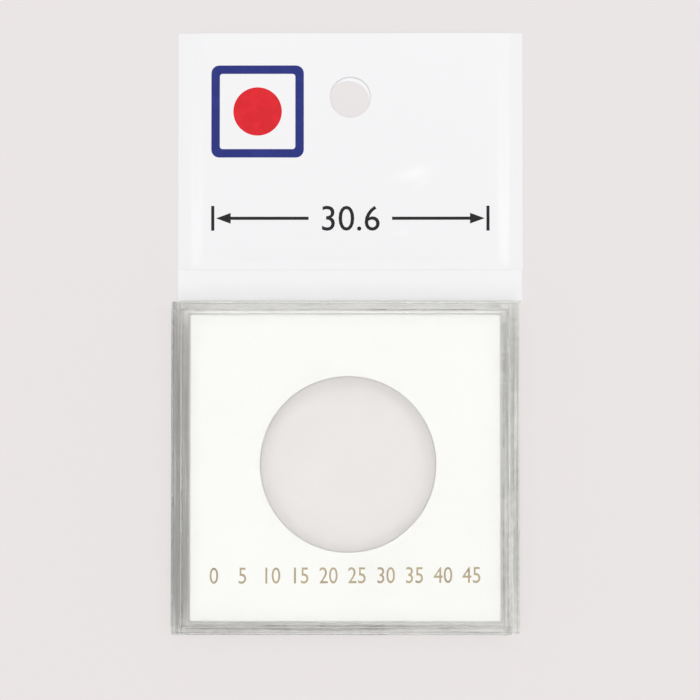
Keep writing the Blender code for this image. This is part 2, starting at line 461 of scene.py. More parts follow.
@dataclass(frozen=True)
class ClearAcrylic(Finish):
    """Moulded clear acrylic: polished plates, and walls the tool leaves grey and streaked, over which shade and
    highlights are painted.

    Attributes:
        half: Half the case's width and height.
        end_stretch: Thickness of the side walls over that of the end walls.
        wall_start: Distance from the middle where the grey walls start.
        face_height: Height of the polished face, which stays clear.
        plate_span: Lowest and highest height of the plate.
        lamp_pass: Share of the lamps' light that goes through.
        clear: Tone of the polished plates.
        milky: Tone of the frost on outer edges, and of the painted highlight on the end walls' tops.
        face_fade: Depths below the polished face where the grey starts to fade and where it is gone.
        wall_dark: Darkest tone of the walls.
        wall_pale: Palest tone of the walls.
        streak_waves: Waves per millimetre across, along and down the streaks.
        mottle: Shares of streaks, specks and patches in the walls' grey.
        mottle_span: Their sums that stand for the darkest and the palest tone.
        side_painted_light: Painted shade added to that sum by the side walls, in the middle and per millimetre of
            x; the left wall is darkest.
        end_painted_light: Painted light added to that sum by the end walls, in the middle and per millimetre of y;
            the upper wall is palest.
        outer_band: Where the shade of the outer walls starts.
        side_shade: That shade by the side walls, in the middle and per millimetre of x.
        end_shade: That shade by the end walls, in the middle and per millimetre of y.
        edge_line: Where the line along the outer edge starts.
        edge_shade: Shade of that line, and what the left wall adds.
        edge_frost: Share of frost on the plate's outer edge.
        ledge: Milky band of painted highlight on top of the raised end walls.
        ledge_rise: Heights above the plate where that frost sets in and where it is full.
        ledge_highlight: Share of that painted highlight, on the lower and the upper wall.
        seam_shadows: Broken lines of painted shade where both halves meet.
        seam_depth: Shade of a seam where it is faint and where it is strong.
        gap_shadows: Lines of painted shade between both halves' walls.
        painted_glints: Pale bands of painted highlight beside the white plate.
    """

    half: Flat
    end_stretch: float
    wall_start: float
    face_height: float
    plate_span: Flat
    lamp_pass: Colour
    clear: Colour = (0.99, 0.99, 0.985)
    milky: Colour = (0.86, 0.875, 0.86)
    face_fade: Flat = (0.7, 0.3)
    wall_dark: Colour = (0.58, 0.594, 0.57)
    wall_pale: Colour = (0.97, 0.985, 0.965)
    streak_waves: Spot = (2.4, 0.035, 0.3)
    mottle: Spot = (1.1, 0.3, 0.35)
    mottle_span: Flat = (0.575, 1.175)
    side_painted_light: Flat = (-0.13, 0.003)
    end_painted_light: Flat = (0.15, 0.0034)
    outer_band: Flat = (28.6, 28.8)
    side_shade: Flat = (0.045, -0.0024)
    end_shade: Flat = (0.075, 0.0009)
    edge_line: Flat = (30.08, 30.2)
    edge_shade: Flat = (0.1, 0.1)
    edge_frost: float = 0.4
    ledge: Flat = (27.72, 28.1)
    ledge_rise: Flat = (0.5, 0.8)
    ledge_highlight: Flat = (0.15, 0.65)
    seam_shadows: tuple[Band, ...] = (
        Band(Wall.UPPER, 28.4, 28.8, 2.15),
        Band(Wall.LOWER, 28.2, 29.35, 1.15),
        Band(Wall.RIGHT, 27.0, 27.9, 0.6),
    )
    seam_depth: Flat = (0.12, 0.28)
    gap_shadows: tuple[Band, ...] = (Band(Wall.LEFT, 28.5, 28.85, 0.36), Band(Wall.LOWER, 28.5, 28.85, 0.3))
    painted_glints: tuple[Band, ...] = (Band(Wall.UPPER, 27.3, 28.3, 1.0), Band(Wall.LOWER, 27.3, 28.3, 0.6))

    def draw(self, graph: Graph) -> None:
        """Draw clear plates with hairline scratches, and streaked walls with painted shade and painted highlights.

        Args:
            graph: The empty graph.
        """
        at = RimPlace(graph, self.half, self.end_stretch)
        upright = abs(at.x).step(self.wall_start, 0.05)
        streak = self.streaks(graph, at, upright)
        grey = self.mottled(graph, at, streak)
        below = 1 - (at.z - self.face_height).rise(-self.face_fade[0], -self.face_fade[1])
        wall = at.reach.step(self.wall_start, 0.08) * below * at.level.span(0.25, 1.0)
        # Painted highlight: the glint bands lift the grey to its palest; painted shade then darkens it towards
        # black.
        tone = graph.blend(grey.most(at.painted(self.painted_glints) * at.level), self.wall_dark, self.wall_pale)
        tone = graph.blend(self.shade(graph, at), tone, BLACK)
        crossing = graph.vector(at.x * 0.08 + at.y * 0.9, at.y * 0.06 - at.x * 0.4, at.z)
        hairline = graph.noise(crossing, 1.4, 4.0, 0.7).rise(0.66, 0.72)
        haze = graph.noise(at.where, 0.22, 3.0)
        glass = graph.shader(
            {
                "Base Color": graph.blend(wall, self.clear, tone),
                "Roughness": haze.span(0.015, 0.035) + hairline * 0.05 + wall * grey.span(0.1, 0.22),
                "IOR": 1.49,
                "Transmission Weight": 1.0,
                "Normal": graph.bump(hairline * 0.15 + wall * streak, 0.03 * MM, 0.6),
            }
        )
        milky = graph.shader({"Base Color": self.milky, "Roughness": haze.span(0.3, 0.5)})
        # The milky shader gives the frosted outer edge and a painted highlight on the end walls' tops.
        frost_and_highlight = graph.mixed(self.frost(at, upright), glass, milky)
        graph.surface(graph.lamplit(frost_and_highlight, self.lamp_pass))

    def streaks(self, graph: Graph, at: RimPlace, upright: Value) -> Value:
        """Fine streaks along each wall.

        Args:
            graph: The graph.
            at: The place.
            upright: One by the side walls, where streaks run along y.

        Returns:
            The streaks, from zero to one.
        """
        fine, slow, down = self.streak_waves
        along_y = graph.noise(graph.vector(at.x * fine, at.y * slow, at.z * down), 1.0, 4.0, 0.6)
        along_x = graph.noise(graph.vector(at.x * slow, at.y * fine, at.z * down), 1.0, 4.0, 0.6)
        return along_y * upright + along_x * (1 - upright)

    def mottled(self, graph: Graph, at: RimPlace, streak: Value) -> Value:
        """Grey of the walls: their own streaks and specks, with painted shade and light that lean it by wall.

        Args:
            graph: The graph.
            at: The place.
            streak: The walls' streaks.

        Returns:
            Zero for the darkest grey and one for the palest.
        """
        speck = graph.noise(at.flat, 0.9, 3.0, 0.65)
        patch = graph.noise(at.where, 0.09, 2.0)
        parts = zip((streak, speck, patch), self.mottle)
        # Painted shade and light: the lean makes the left wall darkest and the end walls paler, the upper one
        # most.
        total = sum(part * share for part, share in parts) + at.drift(self.side_painted_light, self.end_painted_light)
        return total.rise(*self.mottle_span)

    def shade(self, graph: Graph, at: RimPlace) -> Value:
        """Shade of the outer walls, and of the lines where both halves meet.

        Args:
            graph: The graph.
            at: The place.

        Returns:
            Share of black.
        """
        broken = graph.noise(at.flat, 0.16, 3.0, 0.7).rise(0.46, 0.58)
        # Painted shade: broken dark lines in the seams between both halves.
        lines = at.painted(self.seam_shadows) * broken.span(*self.seam_depth)
        plain, added = self.edge_shade
        lines = lines + at.reach.rise(*self.edge_line) * (plain + at.walls[Wall.LEFT] * added)
        outer = at.reach.rise(*self.outer_band) * at.drift(self.side_shade, self.end_shade)
        # Painted shade between both halves' walls is added here, beside the outer band and the lines.
        return outer + lines * at.level + at.painted(self.gap_shadows)

    def frost(self, at: RimPlace, upright: Value) -> Value:
        """Frost on the plate's outer edge, and a milky painted highlight on top of the end walls.

        Args:
            at: The place.
            upright: One by the side walls.

        Returns:
            Share of the milky shader.
        """
        edge = (1 - at.level) * at.reach.rise(*self.edge_line) * at.z.between(*self.plate_span)
        raised = (at.z - self.plate_span[1]).rise(*self.ledge_rise)
        ledge = (1 - upright) * at.level * raised * at.reach.between(*self.ledge)
        return edge * self.edge_frost + ledge * at.upper.span(*self.ledge_highlight)


@dataclass(frozen=True)
class WhiteSheet(Finish):
    """Die-cut white styrene: a fine matt grain, slightly grey cut edges and a painted shade along its border.

    Attributes:
        top: Height of the face.
        half: Half the plate's width and height.
        face: Tone of the face.
        cloudy: Share of that tone in its darker clouds.
        shaded_border: Tone of the border, painted shade where the case's walls shade the plate.
        shaded_border_reach: Where that painted shade starts and ends, counted out from the plate's edge.
        edge: Tone of the cut edge.
        cut_depth: Depths below the face where the cut edge is full and where it starts.
    """

    top: float
    half: Flat
    face: Colour = (0.825, 0.825, 0.812)
    cloudy: float = 0.985
    shaded_border: Colour = (0.77, 0.77, 0.76)
    shaded_border_reach: Flat = (-2.4, 0.6)
    edge: Colour = (0.83, 0.83, 0.817)
    cut_depth: Flat = (0.22, 0.04)

    def draw(self, graph: Graph) -> None:
        """Draw the matt white face, its cut edges and the painted shade along its border.

        Args:
            graph: The empty graph.
        """
        where = graph.where()
        x, y, z = graph.parts(where)
        grain = graph.noise(where, 5.5, 4.0, 0.6)
        cloud = graph.noise(where, 0.07, 2.0).rise(0.35, 0.65)
        full, start = self.cut_depth
        cut = 1 - z.rise(self.top - full, self.top - start)
        # Painted shade: the border darkens where the case's walls shade the plate.
        border_shadow = (abs(x) - self.half[0]).most(abs(y) - self.half[1]).rise(*self.shaded_border_reach)
        face = graph.blend(cloud, self.face, tuple(self.cloudy * share for share in self.face))
        colour = graph.blend(cut, graph.blend(border_shadow, face, self.shaded_border), self.edge)
        sheet = {
            "Base Color": colour,
            "Roughness": grain.span(0.42, 0.58),
            "Normal": graph.bump(grain, 0.012 * MM, 0.5),
        }
        graph.surface(graph.shader(sheet))


@dataclass(frozen=True)
class GoldFoil(Finish):
    """Hot-stamped gold foil: bright metal with a fine broken grain."""

    bright: Colour = (0.30, 0.242, 0.122)
    worn: Colour = (0.215, 0.183, 0.103)

    def draw(self, graph: Graph) -> None:
        """Draw the foil.

        Args:
            graph: The empty graph.
        """
        where = graph.where()
        grain = graph.noise(where, 7.0, 3.0, 0.6)
        worn = graph.noise(where, 1.3, 2.0).rise(0.42, 0.68)
        foil = {
            "Base Color": graph.blend(worn, self.bright, self.worn),
            "Metallic": worn.span(0.55, 0.75),
            "Roughness": grain.span(0.34, 0.54) + worn * 0.1,
            "Normal": graph.bump(grain, 0.01 * MM, 0.6),
        }
        graph.surface(graph.shader(foil))


@dataclass(frozen=True)
class PackFilm(Finish):
    """Polypropylene film: printed white above its print line and clear below, with welded side strips.

    Attributes:
        print_from: Height of the print line on the cut.
        left: Left edge of the cut.
        right: Right edge of the cut.
        weld: Width of the welded strips.
        rib_pitch: Distance between two ribs of a weld.
        white: Tone of the print.
        cloudy: Share of that tone in its darker clouds.
        opacity: Share of light that the print holds back.
        haze: Share of light that the clear film holds back.
    """

    print_from: float
    left: float
    right: float
    weld: float = 2.3
    rib_pitch: float = 0.62
    white: Colour = (0.945, 0.943, 0.957)
    cloudy: float = 0.965
    opacity: float = 0.95
    haze: float = 0.04

    def draw(self, graph: Graph) -> None:
        """Draw the printed and the clear film.

        Args:
            graph: The empty graph.
        """
        x, y = graph.cut_place()
        where = graph.vector(x, y, 0.0)
        printed = y.step(self.print_from, 0.35)
        weld = 1 - (x - self.left).least(self.right - x).step(self.weld, 0.12)
        rib = graph.math("SINE", y * (2 * math.pi / self.rib_pitch)).span(0.5, 1.0)
        cloud = graph.noise(where, 0.11, 2.0)
        fine = graph.noise(where, 3.2, 3.0, 0.6)
        dim = tuple(self.cloudy * share for share in self.white)
        film = {
            "Base Color": graph.blend(cloud.rise(0.3, 0.7) * 0.5 + weld * 0.5, self.white, dim),
            "Roughness": fine.span(0.24, 0.36) + weld * 0.12,
            "Alpha": printed.span(self.haze, self.opacity) + cloud * 0.05,
            "IOR": 1.49,
            "Normal": graph.bump(fine * 0.25 + weld * rib, 0.015 * MM, 0.5),
        }
        graph.surface(graph.shader(film))


@dataclass(frozen=True)
class FilmInk(Finish):
    """Screen ink on film: flat colour with a slight broken gloss."""

    tone: Colour

    def draw(self, graph: Graph) -> None:
        """Draw the ink.

        Args:
            graph: The empty graph.
        """
        where = graph.where()
        cloud = graph.noise(where, 0.5, 3.0).rise(0.4, 0.8)
        fine = graph.noise(where, 6.0, 2.0)
        pale = tuple(min(1.0, share * 1.15 + 0.004) for share in self.tone)
        ink = {
            "Base Color": graph.blend(cloud, self.tone, pale),
            "Roughness": fine.span(0.50, 0.65),
            "Specular IOR Level": 0.2,
            "Normal": graph.bump(fine, 0.006 * MM, 0.4),
        }
        graph.surface(graph.shader(ink))


@dataclass(frozen=True)
class TackyBond(Finish):
    """Clear transfer adhesive: a milky strip with trapped bubbles."""

    tone: Colour = (0.86, 0.86, 0.82)

    def draw(self, graph: Graph) -> None:
        """Draw the adhesive.

        Args:
            graph: The empty graph.
        """
        where = graph.where()
        cloud = graph.noise(where, 0.35, 3.0)
        cell = graph.node("ShaderNodeTexVoronoi", {"feature": "F1"}, {"Vector": where, "Scale": 0.9})
        bubble = 1 - graph.out(cell, "Distance").rise(0.12, 0.2)
        bond = {
            "Base Color": self.tone,
            "Roughness": cloud.span(0.45, 0.65),
            "Alpha": cloud.span(0.30, 0.45) - bubble * 0.2,
            "Normal": graph.bump(cloud + bubble, 0.02 * MM, 0.5),
        }
        graph.surface(graph.shader(bond))


@dataclass(frozen=True)
class StudioPaper(Finish):
    """The plain pale paper that the holder lies on.

    Attributes:
        tone: Tone of the paper under the lamps.
        shown: Its tone where no shadow falls.
        share: Share of that tone in what the camera sees, so that shadows stay but are soft.
    """

    tone: Colour = (0.868, 0.829, 0.829)
    shown: Colour = (0.831, 0.791, 0.791)
    share: float = 0.66

    def draw(self, graph: Graph) -> None:
        """Draw paper that keeps part of each shadow and lights nothing more than paper does.

        Args:
            graph: The empty graph.
        """
        tooth = graph.noise(graph.where(), 2.0, 3.0)
        paper = {"Base Color": self.tone, "Roughness": tooth.span(0.85, 0.95), "Specular IOR Level": 0.2}
        plain = graph.out(graph.node("ShaderNodeEmission", sockets={"Color": self.shown}))
        graph.surface(graph.mixed(graph.seen_straight() * self.share, graph.shader(paper), plain))
        graph.owner.cycles.emission_sampling = "NONE"


def creased(mesh: bpy.types.Mesh, crease: float) -> None:
    """Shade a mesh smooth, with sharp edges above an angle in degrees."""
    mesh.polygons.foreach_set("use_smooth", [True] * len(mesh.polygons))
    mesh.set_sharp_from_angle(angle=math.radians(crease))


@dataclass
class Shape:
    """Points and faces of one piece while it is made."""

    points: list[Spot] = field(default_factory=list)
    faces: list[Face] = field(default_factory=list)

    def ring(self, outline: Sequence[Flat], height: float) -> list[int]:
        """Add the points of a level outline.

        Args:
            outline: Its points, anticlockwise seen from above.
            height: Its height.

        Returns:
            Their places in the shape.
        """
        first = len(self.points)
        self.points.extend((x, y, height) for x, y in outline)
        return list(range(first, len(self.points)))

    def bridge(self, upper: Sequence[int], lower: Sequence[int]) -> None:
        """Close the strip between two rings, facing out.

        Args:
            upper: Places of the upper ring.
            lower: Places of the lower ring, or of the one further in on a face that looks up.
        """
        for i, start in enumerate(upper):
            j = (i + 1) % len(upper)
            self.faces.append((start, lower[i], lower[j], upper[j]))

    def add(self, points: Sequence[Spot], faces: Sequence[Face]) -> None:
        """Add a loose body.

        Args:
            points: Its points.
            faces: Its faces, counted from its first point.
        """
        first = len(self.points)
        self.points.extend(tuple(point) for point in points)
        self.faces.extend(tuple(first + i for i in face) for face in faces)

    def slab(
        self,
        flat: Sequence[Flat],
        faces: Sequence[Face],
        borders: Sequence[Sequence[int]],
        under: Lift,
        thickness: float,
    ) -> None:
        """Add a thin closed body over a flat cut.

        Args:
            flat: Points of the cut.
            faces: Its faces, anticlockwise seen from above.
            borders: Its borders, each with the cut on its left.
            under: Height of its underside at a place.
            thickness: Its thickness.
        """
        count = len(flat)
        lower = [(x, y, under(x, y)) for x, y in flat]
        upper = [(x, y, z + thickness) for x, y, z in lower]
        closed = [*faces, *(tuple(count + i for i in face[::-1]) for face in faces)]
        for border in borders:
            for start, end in zip(border, [*border[1:], border[0]]):
                closed.append((start, count + start, count + end, end))
        self.add(upper + lower, closed)

    def piece(self, name: str, finish: Finish | None = None, crease: float = 35.0) -> bpy.types.Object:
        """Make the object.

        Args:
            name: Name of the piece.
            finish: Its finish, or none for a cutter.
            crease: Angle in degrees above which an edge stays sharp.

        Returns:
            The object, linked to the scene.
        """
        mesh = bpy.data.meshes.new(name)
        mesh.from_pydata(self.points, [], self.faces)
        mesh.validate()
        creased(mesh, crease)
        made = bpy.data.objects.new(name, mesh)
        bpy.context.scene.collection.objects.link(made)
        if finish is not None:
            mesh.materials.append(finish.material())
        return made


def evaluated_mesh(holder: bpy.types.Object) -> bpy.types.Mesh:
    """A new mesh of an object with its modifiers or its text applied."""
    bpy.context.view_layer.update()
    return bpy.data.meshes.new_from_object(holder.evaluated_get(bpy.context.evaluated_depsgraph_get()))


def apply_tool(piece: bpy.types.Object, tool: bpy.types.Object, cut: Cut, crease: float = 35.0) -> None:
    """Join a tool body to a piece or remove it, and drop the tool.

    Args:
        piece: The piece that changes.
        tool: The body that is joined or removed.
        cut: Which of both.
        crease: Angle in degrees above which an edge stays sharp.
    """
    step = piece.modifiers.new(tool.name, "BOOLEAN")
    step.operation = cut.value
    step.solver = "EXACT"
    step.object = tool
    mesh = evaluated_mesh(piece)
    piece.modifiers.remove(step)
    old = piece.data
    piece.data = mesh
    mesh.name = piece.name
    bpy.data.meshes.remove(old)
    bpy.data.objects.remove(tool)
    creased(mesh, crease)


def block(low: Spot, high: Spot) -> Shape:
    """A rectangular body for tools.

    Args:
        low: Its lowest corner.
        high: Its highest corner.

    Returns:
        The body.
    """
    points = [(x, y, z) for z in (low[2], high[2]) for y in (low[1], high[1]) for x in (low[0], high[0])]
    faces = [(0, 2, 3, 1), (4, 5, 7, 6), (0, 1, 5, 4), (2, 6, 7, 3), (0, 4, 6, 2), (1, 3, 7, 5)]
    return Shape(points, faces)


@dataclass(frozen=True)
class Corner:
    """One corner of a wall's section: x and y distance from the middle, height, and rounding radius."""

    half: Flat
    height: float
    radius: float


def inward(half: Flat, by: Flat) -> Flat:
    """Distances from the middle, each made less by its own amount."""
    return half[0] - by[0], half[1] - by[1]


def in_mm(half: Flat) -> Flat:
    """Two distances in millimetres, for a finish."""
    return half[0] / MM, half[1] / MM


def rounded_section(
    corners: Sequence[Corner], axis: int, steps: int = 5, support: float = 0.04 * MM
) -> list[Flat]:
    """Round the corners of a section that starts and ends at the middle of the case.

    Args:
        corners: Its corners, all right angles.
        axis: Whether the distances along x (0) or along y (1) are taken.
        steps: Steps of each arc.
        support: Distance of the extra points that keep flat faces flat.

    Returns:
        (distance from the middle, height) of each point.
    """
    stops = [Vector((0.0, corners[0].height))]
    stops += [Vector((corner.half[axis], corner.height)) for corner in corners]
    stops.append(Vector((0.0, corners[-1].height)))
    points: list[Flat] = []
    for i, corner in enumerate(corners, start=1):
        back = (stops[i - 1] - stops[i]).normalized()
        on = (stops[i + 1] - stops[i]).normalized()
        middle = stops[i] + (back + on) * corner.radius
        points.append(tuple(stops[i] + back * (corner.radius + support)))
        for step in range(steps + 1):
            turn = math.pi / 2 * step / steps
            points.append(tuple(middle - (on * math.cos(turn) + back * math.sin(turn)) * corner.radius))
        points.append(tuple(stops[i] + on * (corner.radius + support)))
    return points


def box_outline(half: Flat, radius: float, steps: int = 6, support: float = 0.04 * MM) -> list[Flat]:
    """A rectangle with rounded corners.

    Args:
        half: Half its width and half its height.
        radius: Radius of its corners.
        steps: Steps of each arc.
        support: Distance of the extra points that keep flat sides flat.

    Returns:
        Its points, anticlockwise seen from above.
    """
    arc = [Vector((radius, -support))]
    turns = [math.pi / 2 * i / steps for i in range(steps + 1)]
    arc += [Vector((math.cos(turn), math.sin(turn))) * radius for turn in turns]
    arc.append(Vector((-support, radius)))
    points: list[Flat] = []
    for quarter, (right, up) in enumerate(((1, 1), (-1, 1), (-1, -1), (1, -1))):
        middle = Vector((right * (half[0] - radius), up * (half[1] - radius)))
        turned = Matrix.Rotation(math.pi / 2 * quarter, 2)
        points += [tuple(middle + turned @ point) for point in arc]
    return points


def divided_box(half: Flat, radius: float, cuts: int, support: float = 0.04 * MM) -> list[Flat]:
    """A rectangle with rounded corners and points along its sides.

    Args:
        half: Half its width and half its height.
        radius: Radius of its corners.
        cuts: Lengths that each side is divided into.
        support: Distance of the extra points beside each corner.

    Returns:
        Its points, anticlockwise seen from above.
    """
    corners = box_outline(half, radius, support=support)
    per_corner = len(corners) // 4
    points: list[Flat] = []
    for i, (x, y) in enumerate(corners):
        points.append((x, y))
        if i % per_corner == per_corner - 1:
            nx, ny = corners[(i + 1) % len(corners)]
            points += [(x + (nx - x) * k / cuts, y + (ny - y) * k / cuts) for k in range(1, cuts)]
    return points


def moved(outline: Sequence[Flat], middle: Flat) -> list[Flat]:
    """An outline moved from the origin to a middle."""
    return [(middle[0] + x, middle[1] + y) for x, y in outline]


def disc_outline(radius: float, count: int) -> list[Flat]:
    """Points round a circle, anticlockwise seen from above."""
    turns = [2 * math.pi * i / count for i in range(count)]
    return [(radius * math.cos(turn), radius * math.sin(turn)) for turn in turns]


def box_shell(corners: Sequence[Corner], corner: float, downward: bool, least: float = 0.2 * MM) -> Shape:
    """Turn a section into a four-sided shell.

    Args:
        corners: The section's corners.
        corner: Corner radius of the widest outline.
        downward: Whether the section runs down its outer wall, as a cover's does.
        least: Smallest corner radius.

    Returns:
        The closed shell.
    """
    section = list(zip(rounded_section(corners, 0), rounded_section(corners, 1)))
    widest = max(wide for (wide, _), _ in section)
    shape = Shape()
    rings = []
    for (wide, height), (tall, _) in section:
        radius = max(least, corner - (widest - wide))
        rings.append(shape.ring(box_outline((wide, tall), radius), height))
    for first, second in zip(rings, rings[1:]):
        if downward:
            shape.bridge(first, second)
        else:
            shape.bridge(second, first)
    start, end = tuple(rings[0]), tuple(rings[-1])
    shape.faces.append(start if downward else start[::-1])
    shape.faces.append(end[::-1] if downward else end)
    return shape


def dressed(piece: bpy.types.Object, body: Body, slot: Slot | None, *nodes: str) -> bpy.types.Object:
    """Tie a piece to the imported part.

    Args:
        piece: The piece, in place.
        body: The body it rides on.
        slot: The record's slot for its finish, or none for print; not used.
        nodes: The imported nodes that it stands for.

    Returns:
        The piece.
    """
    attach(piece, body.value)
    if nodes:
        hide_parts(*nodes)
    return piece


@dataclass
class CoverShell:
    """The clear front: a plate with four outer walls and a pry notch under each side wall.

    Attributes:
        walls: Thickness of the side walls and of the end walls.
        plate: Thickness of the plate.
        corner: Radius of its corners seen from the front.
        face_radius: Rounding of the front face's edge.
        rim_radius: Rounding of the walls' rim.
        root_radius: Rounding inside, where the walls meet the plate.
        notch: Depth, width and height of a pry notch.
        over: How far the notch's cutter stands out of the wall.
        grey_reach: How far inside the walls, in millimetres, the plate's underside is grey.
        lamp_pass: Share of the lamps' light that goes through.
    """

    walls: Flat = (1.575 * MM, 1.2 * MM)
    plate: float = 1.665 * MM
    corner: float = 0.4 * MM
    face_radius: float = 0.28 * MM
    rim_radius: float = 0.12 * MM
    root_radius: float = 0.2 * MM
    notch: Spot = (0.9 * MM, 7.0 * MM, 0.7 * MM)
    over: float = 1.0 * MM
    grey_reach: float = 1.4
    lamp_pass: Colour = (0.66, 0.66, 0.655)

    def build(self) -> list[bpy.types.Object]:
        """Make the cover.

        Returns:
            Its one piece.
        """
        low, high = packed_box("front_cover")
        half = high[:2]
        inside = inward(half, self.walls)
        corners = [
            Corner(half, high[2], self.face_radius),
            Corner(half, low[2], self.rim_radius),
            Corner(inside, low[2], self.rim_radius),
            Corner(inside, high[2] - self.plate, self.root_radius),
        ]
        finish = ClearAcrylic(
            "cover_clear",
            half=in_mm(half),
            end_stretch=self.walls[0] / self.walls[1],
            wall_start=inside[0] / MM - self.grey_reach,
            face_height=high[2] / MM,
            plate_span=in_mm((high[2] - self.plate, high[2])),
            lamp_pass=self.lamp_pass,
        )
        cover = box_shell(corners, self.corner, downward=True).piece("cover_shell", finish)
        deep, wide, tall = self.notch
        for side in (-1, 1):
            edges = sorted((side * (half[0] - deep), side * (half[0] + self.over)))
            lowest = (edges[0], -wide / 2, low[2] - self.over)
            highest = (edges[1], wide / 2, low[2] + tall)
            apply_tool(cover, block(lowest, highest).piece("pry_notch"), Cut.REMOVE)
        return [dressed(cover, Body.COVER, Slot.COVER, "front_cover")]


@dataclass
class TrayShell:
    """The clear back: a plate as wide as the cover, walls round the centre plate, and snap beads.

    Attributes:
        plate: Thickness of the plate.
        cover_walls: Thickness of the cover's side walls and end walls.
        wall_gap: Gap between the cover's walls and the tray's.
        walls: Thickness of the side walls and of the end walls.
        corner: Radius of its corners seen from the front.
        edge_radius: Rounding of the back face's edge.
        rim_radius: Rounding of the other edges.
        bead_length: Length of a snap bead.
        bead_height: Its height.
        bead_rise: How far it stands out of the wall.
        bead_root: How deep it starts in the wall.
        bead_spacing: Distance between the two beads of an end wall.
        grey_reach: How far inside the walls, in millimetres, the plate is grey.
        no_face: Height in millimetres above the walls that no face reaches, so that none is polished.
        lamp_pass: Share of the lamps' light that goes through.
    """

    plate: float = 1.665 * MM
    cover_walls: Flat = (1.575 * MM, 1.2 * MM)
    wall_gap: float = 0.25 * MM
    walls: Flat = (1.2 * MM, 0.6 * MM)
    corner: float = 0.4 * MM
    edge_radius: float = 0.3 * MM
    rim_radius: float = 0.15 * MM
    bead_length: float = 5.0 * MM
    bead_height: float = 0.7 * MM
    bead_rise: float = 0.15 * MM
    bead_root: float = 0.4 * MM
    bead_spacing: float = 32.4 * MM
    grey_reach: float = 0.1
    no_face: float = 5.0
    lamp_pass: Colour = (1.0, 1.0, 0.995)

    def build(self) -> list[bpy.types.Object]:
        """Make the tray.

        Returns:
            Its one piece.
        """
        low, high = packed_box("back_tray")
        half = high[:2]
        deck = low[2] + self.plate
        outside = inward(inward(half, self.cover_walls), (self.wall_gap, self.wall_gap))
        inside = inward(outside, self.walls)
        corners = [
            Corner(half, low[2], self.edge_radius),
            Corner(half, deck, self.rim_radius),
            Corner(outside, deck, self.rim_radius),
            Corner(outside, high[2], self.rim_radius),
            Corner(inside, high[2], self.rim_radius),
            Corner(inside, deck, self.rim_radius),
        ]
        finish = ClearAcrylic(
            "tray_clear",
            half=in_mm(half),
            end_stretch=self.cover_walls[0] / self.cover_walls[1],
            wall_start=inside[0] / MM - self.grey_reach,
            face_height=high[2] / MM + self.no_face,
            plate_span=in_mm((low[2], deck)),
            lamp_pass=self.lamp_pass,
        )
        tray = box_shell(corners, self.corner, downward=False).piece("tray_shell", finish)
        middle = (deck + high[2]) / 2
        for side in (-1, 1):
            apply_tool(tray, self.bead(side * outside[0], 0.0, middle, True), Cut.JOIN)
            for hand in (-1, 1):
                along = hand * self.bead_spacing / 2
                apply_tool(tray, self.bead(along, side * outside[1], middle, False), Cut.JOIN)
        return [dressed(tray, Body.TRAY, Slot.TRAY, "back_tray")]

    def bead(self, x: float, y: float, z: float, upright: bool) -> bpy.types.Object:
        """A snap bead on the outer face of a wall.

        Args:
            x: Its middle across the case.
            y: Its middle along the case.
            z: Height of its middle.
            upright: Whether it is on a side wall, and so runs along y.

        Returns:
            The bead, as a tool.
        """
        out = math.copysign(1.0, x if upright else y)
        profile = [
            (-self.bead_root, -self.bead_height / 2),
            (0.0, -self.bead_height / 2),
            (self.bead_rise, -self.bead_height / 6),
            (self.bead_rise, self.bead_height / 6),
            (0.0, self.bead_height / 2),
            (-self.bead_root, self.bead_height / 2),
        ]
        points: list[Spot] = []
        for end in (-self.bead_length / 2, self.bead_length / 2):
            for depth, height in profile:
                if upright:
                    points.append((x + out * depth, y + end, z + height))
                else:
                    points.append((x + end, y + out * depth, z + height))
        count = len(profile)
        faces = [(i, (i + 1) % count, count + (i + 1) % count, count + i) for i in range(count)]
        faces += [tuple(range(count))[::-1], tuple(range(count, 2 * count))]
        if (out > 0) == upright:
            faces = [face[::-1] for face in faces]
        return Shape(points, faces).piece("snap_bead")


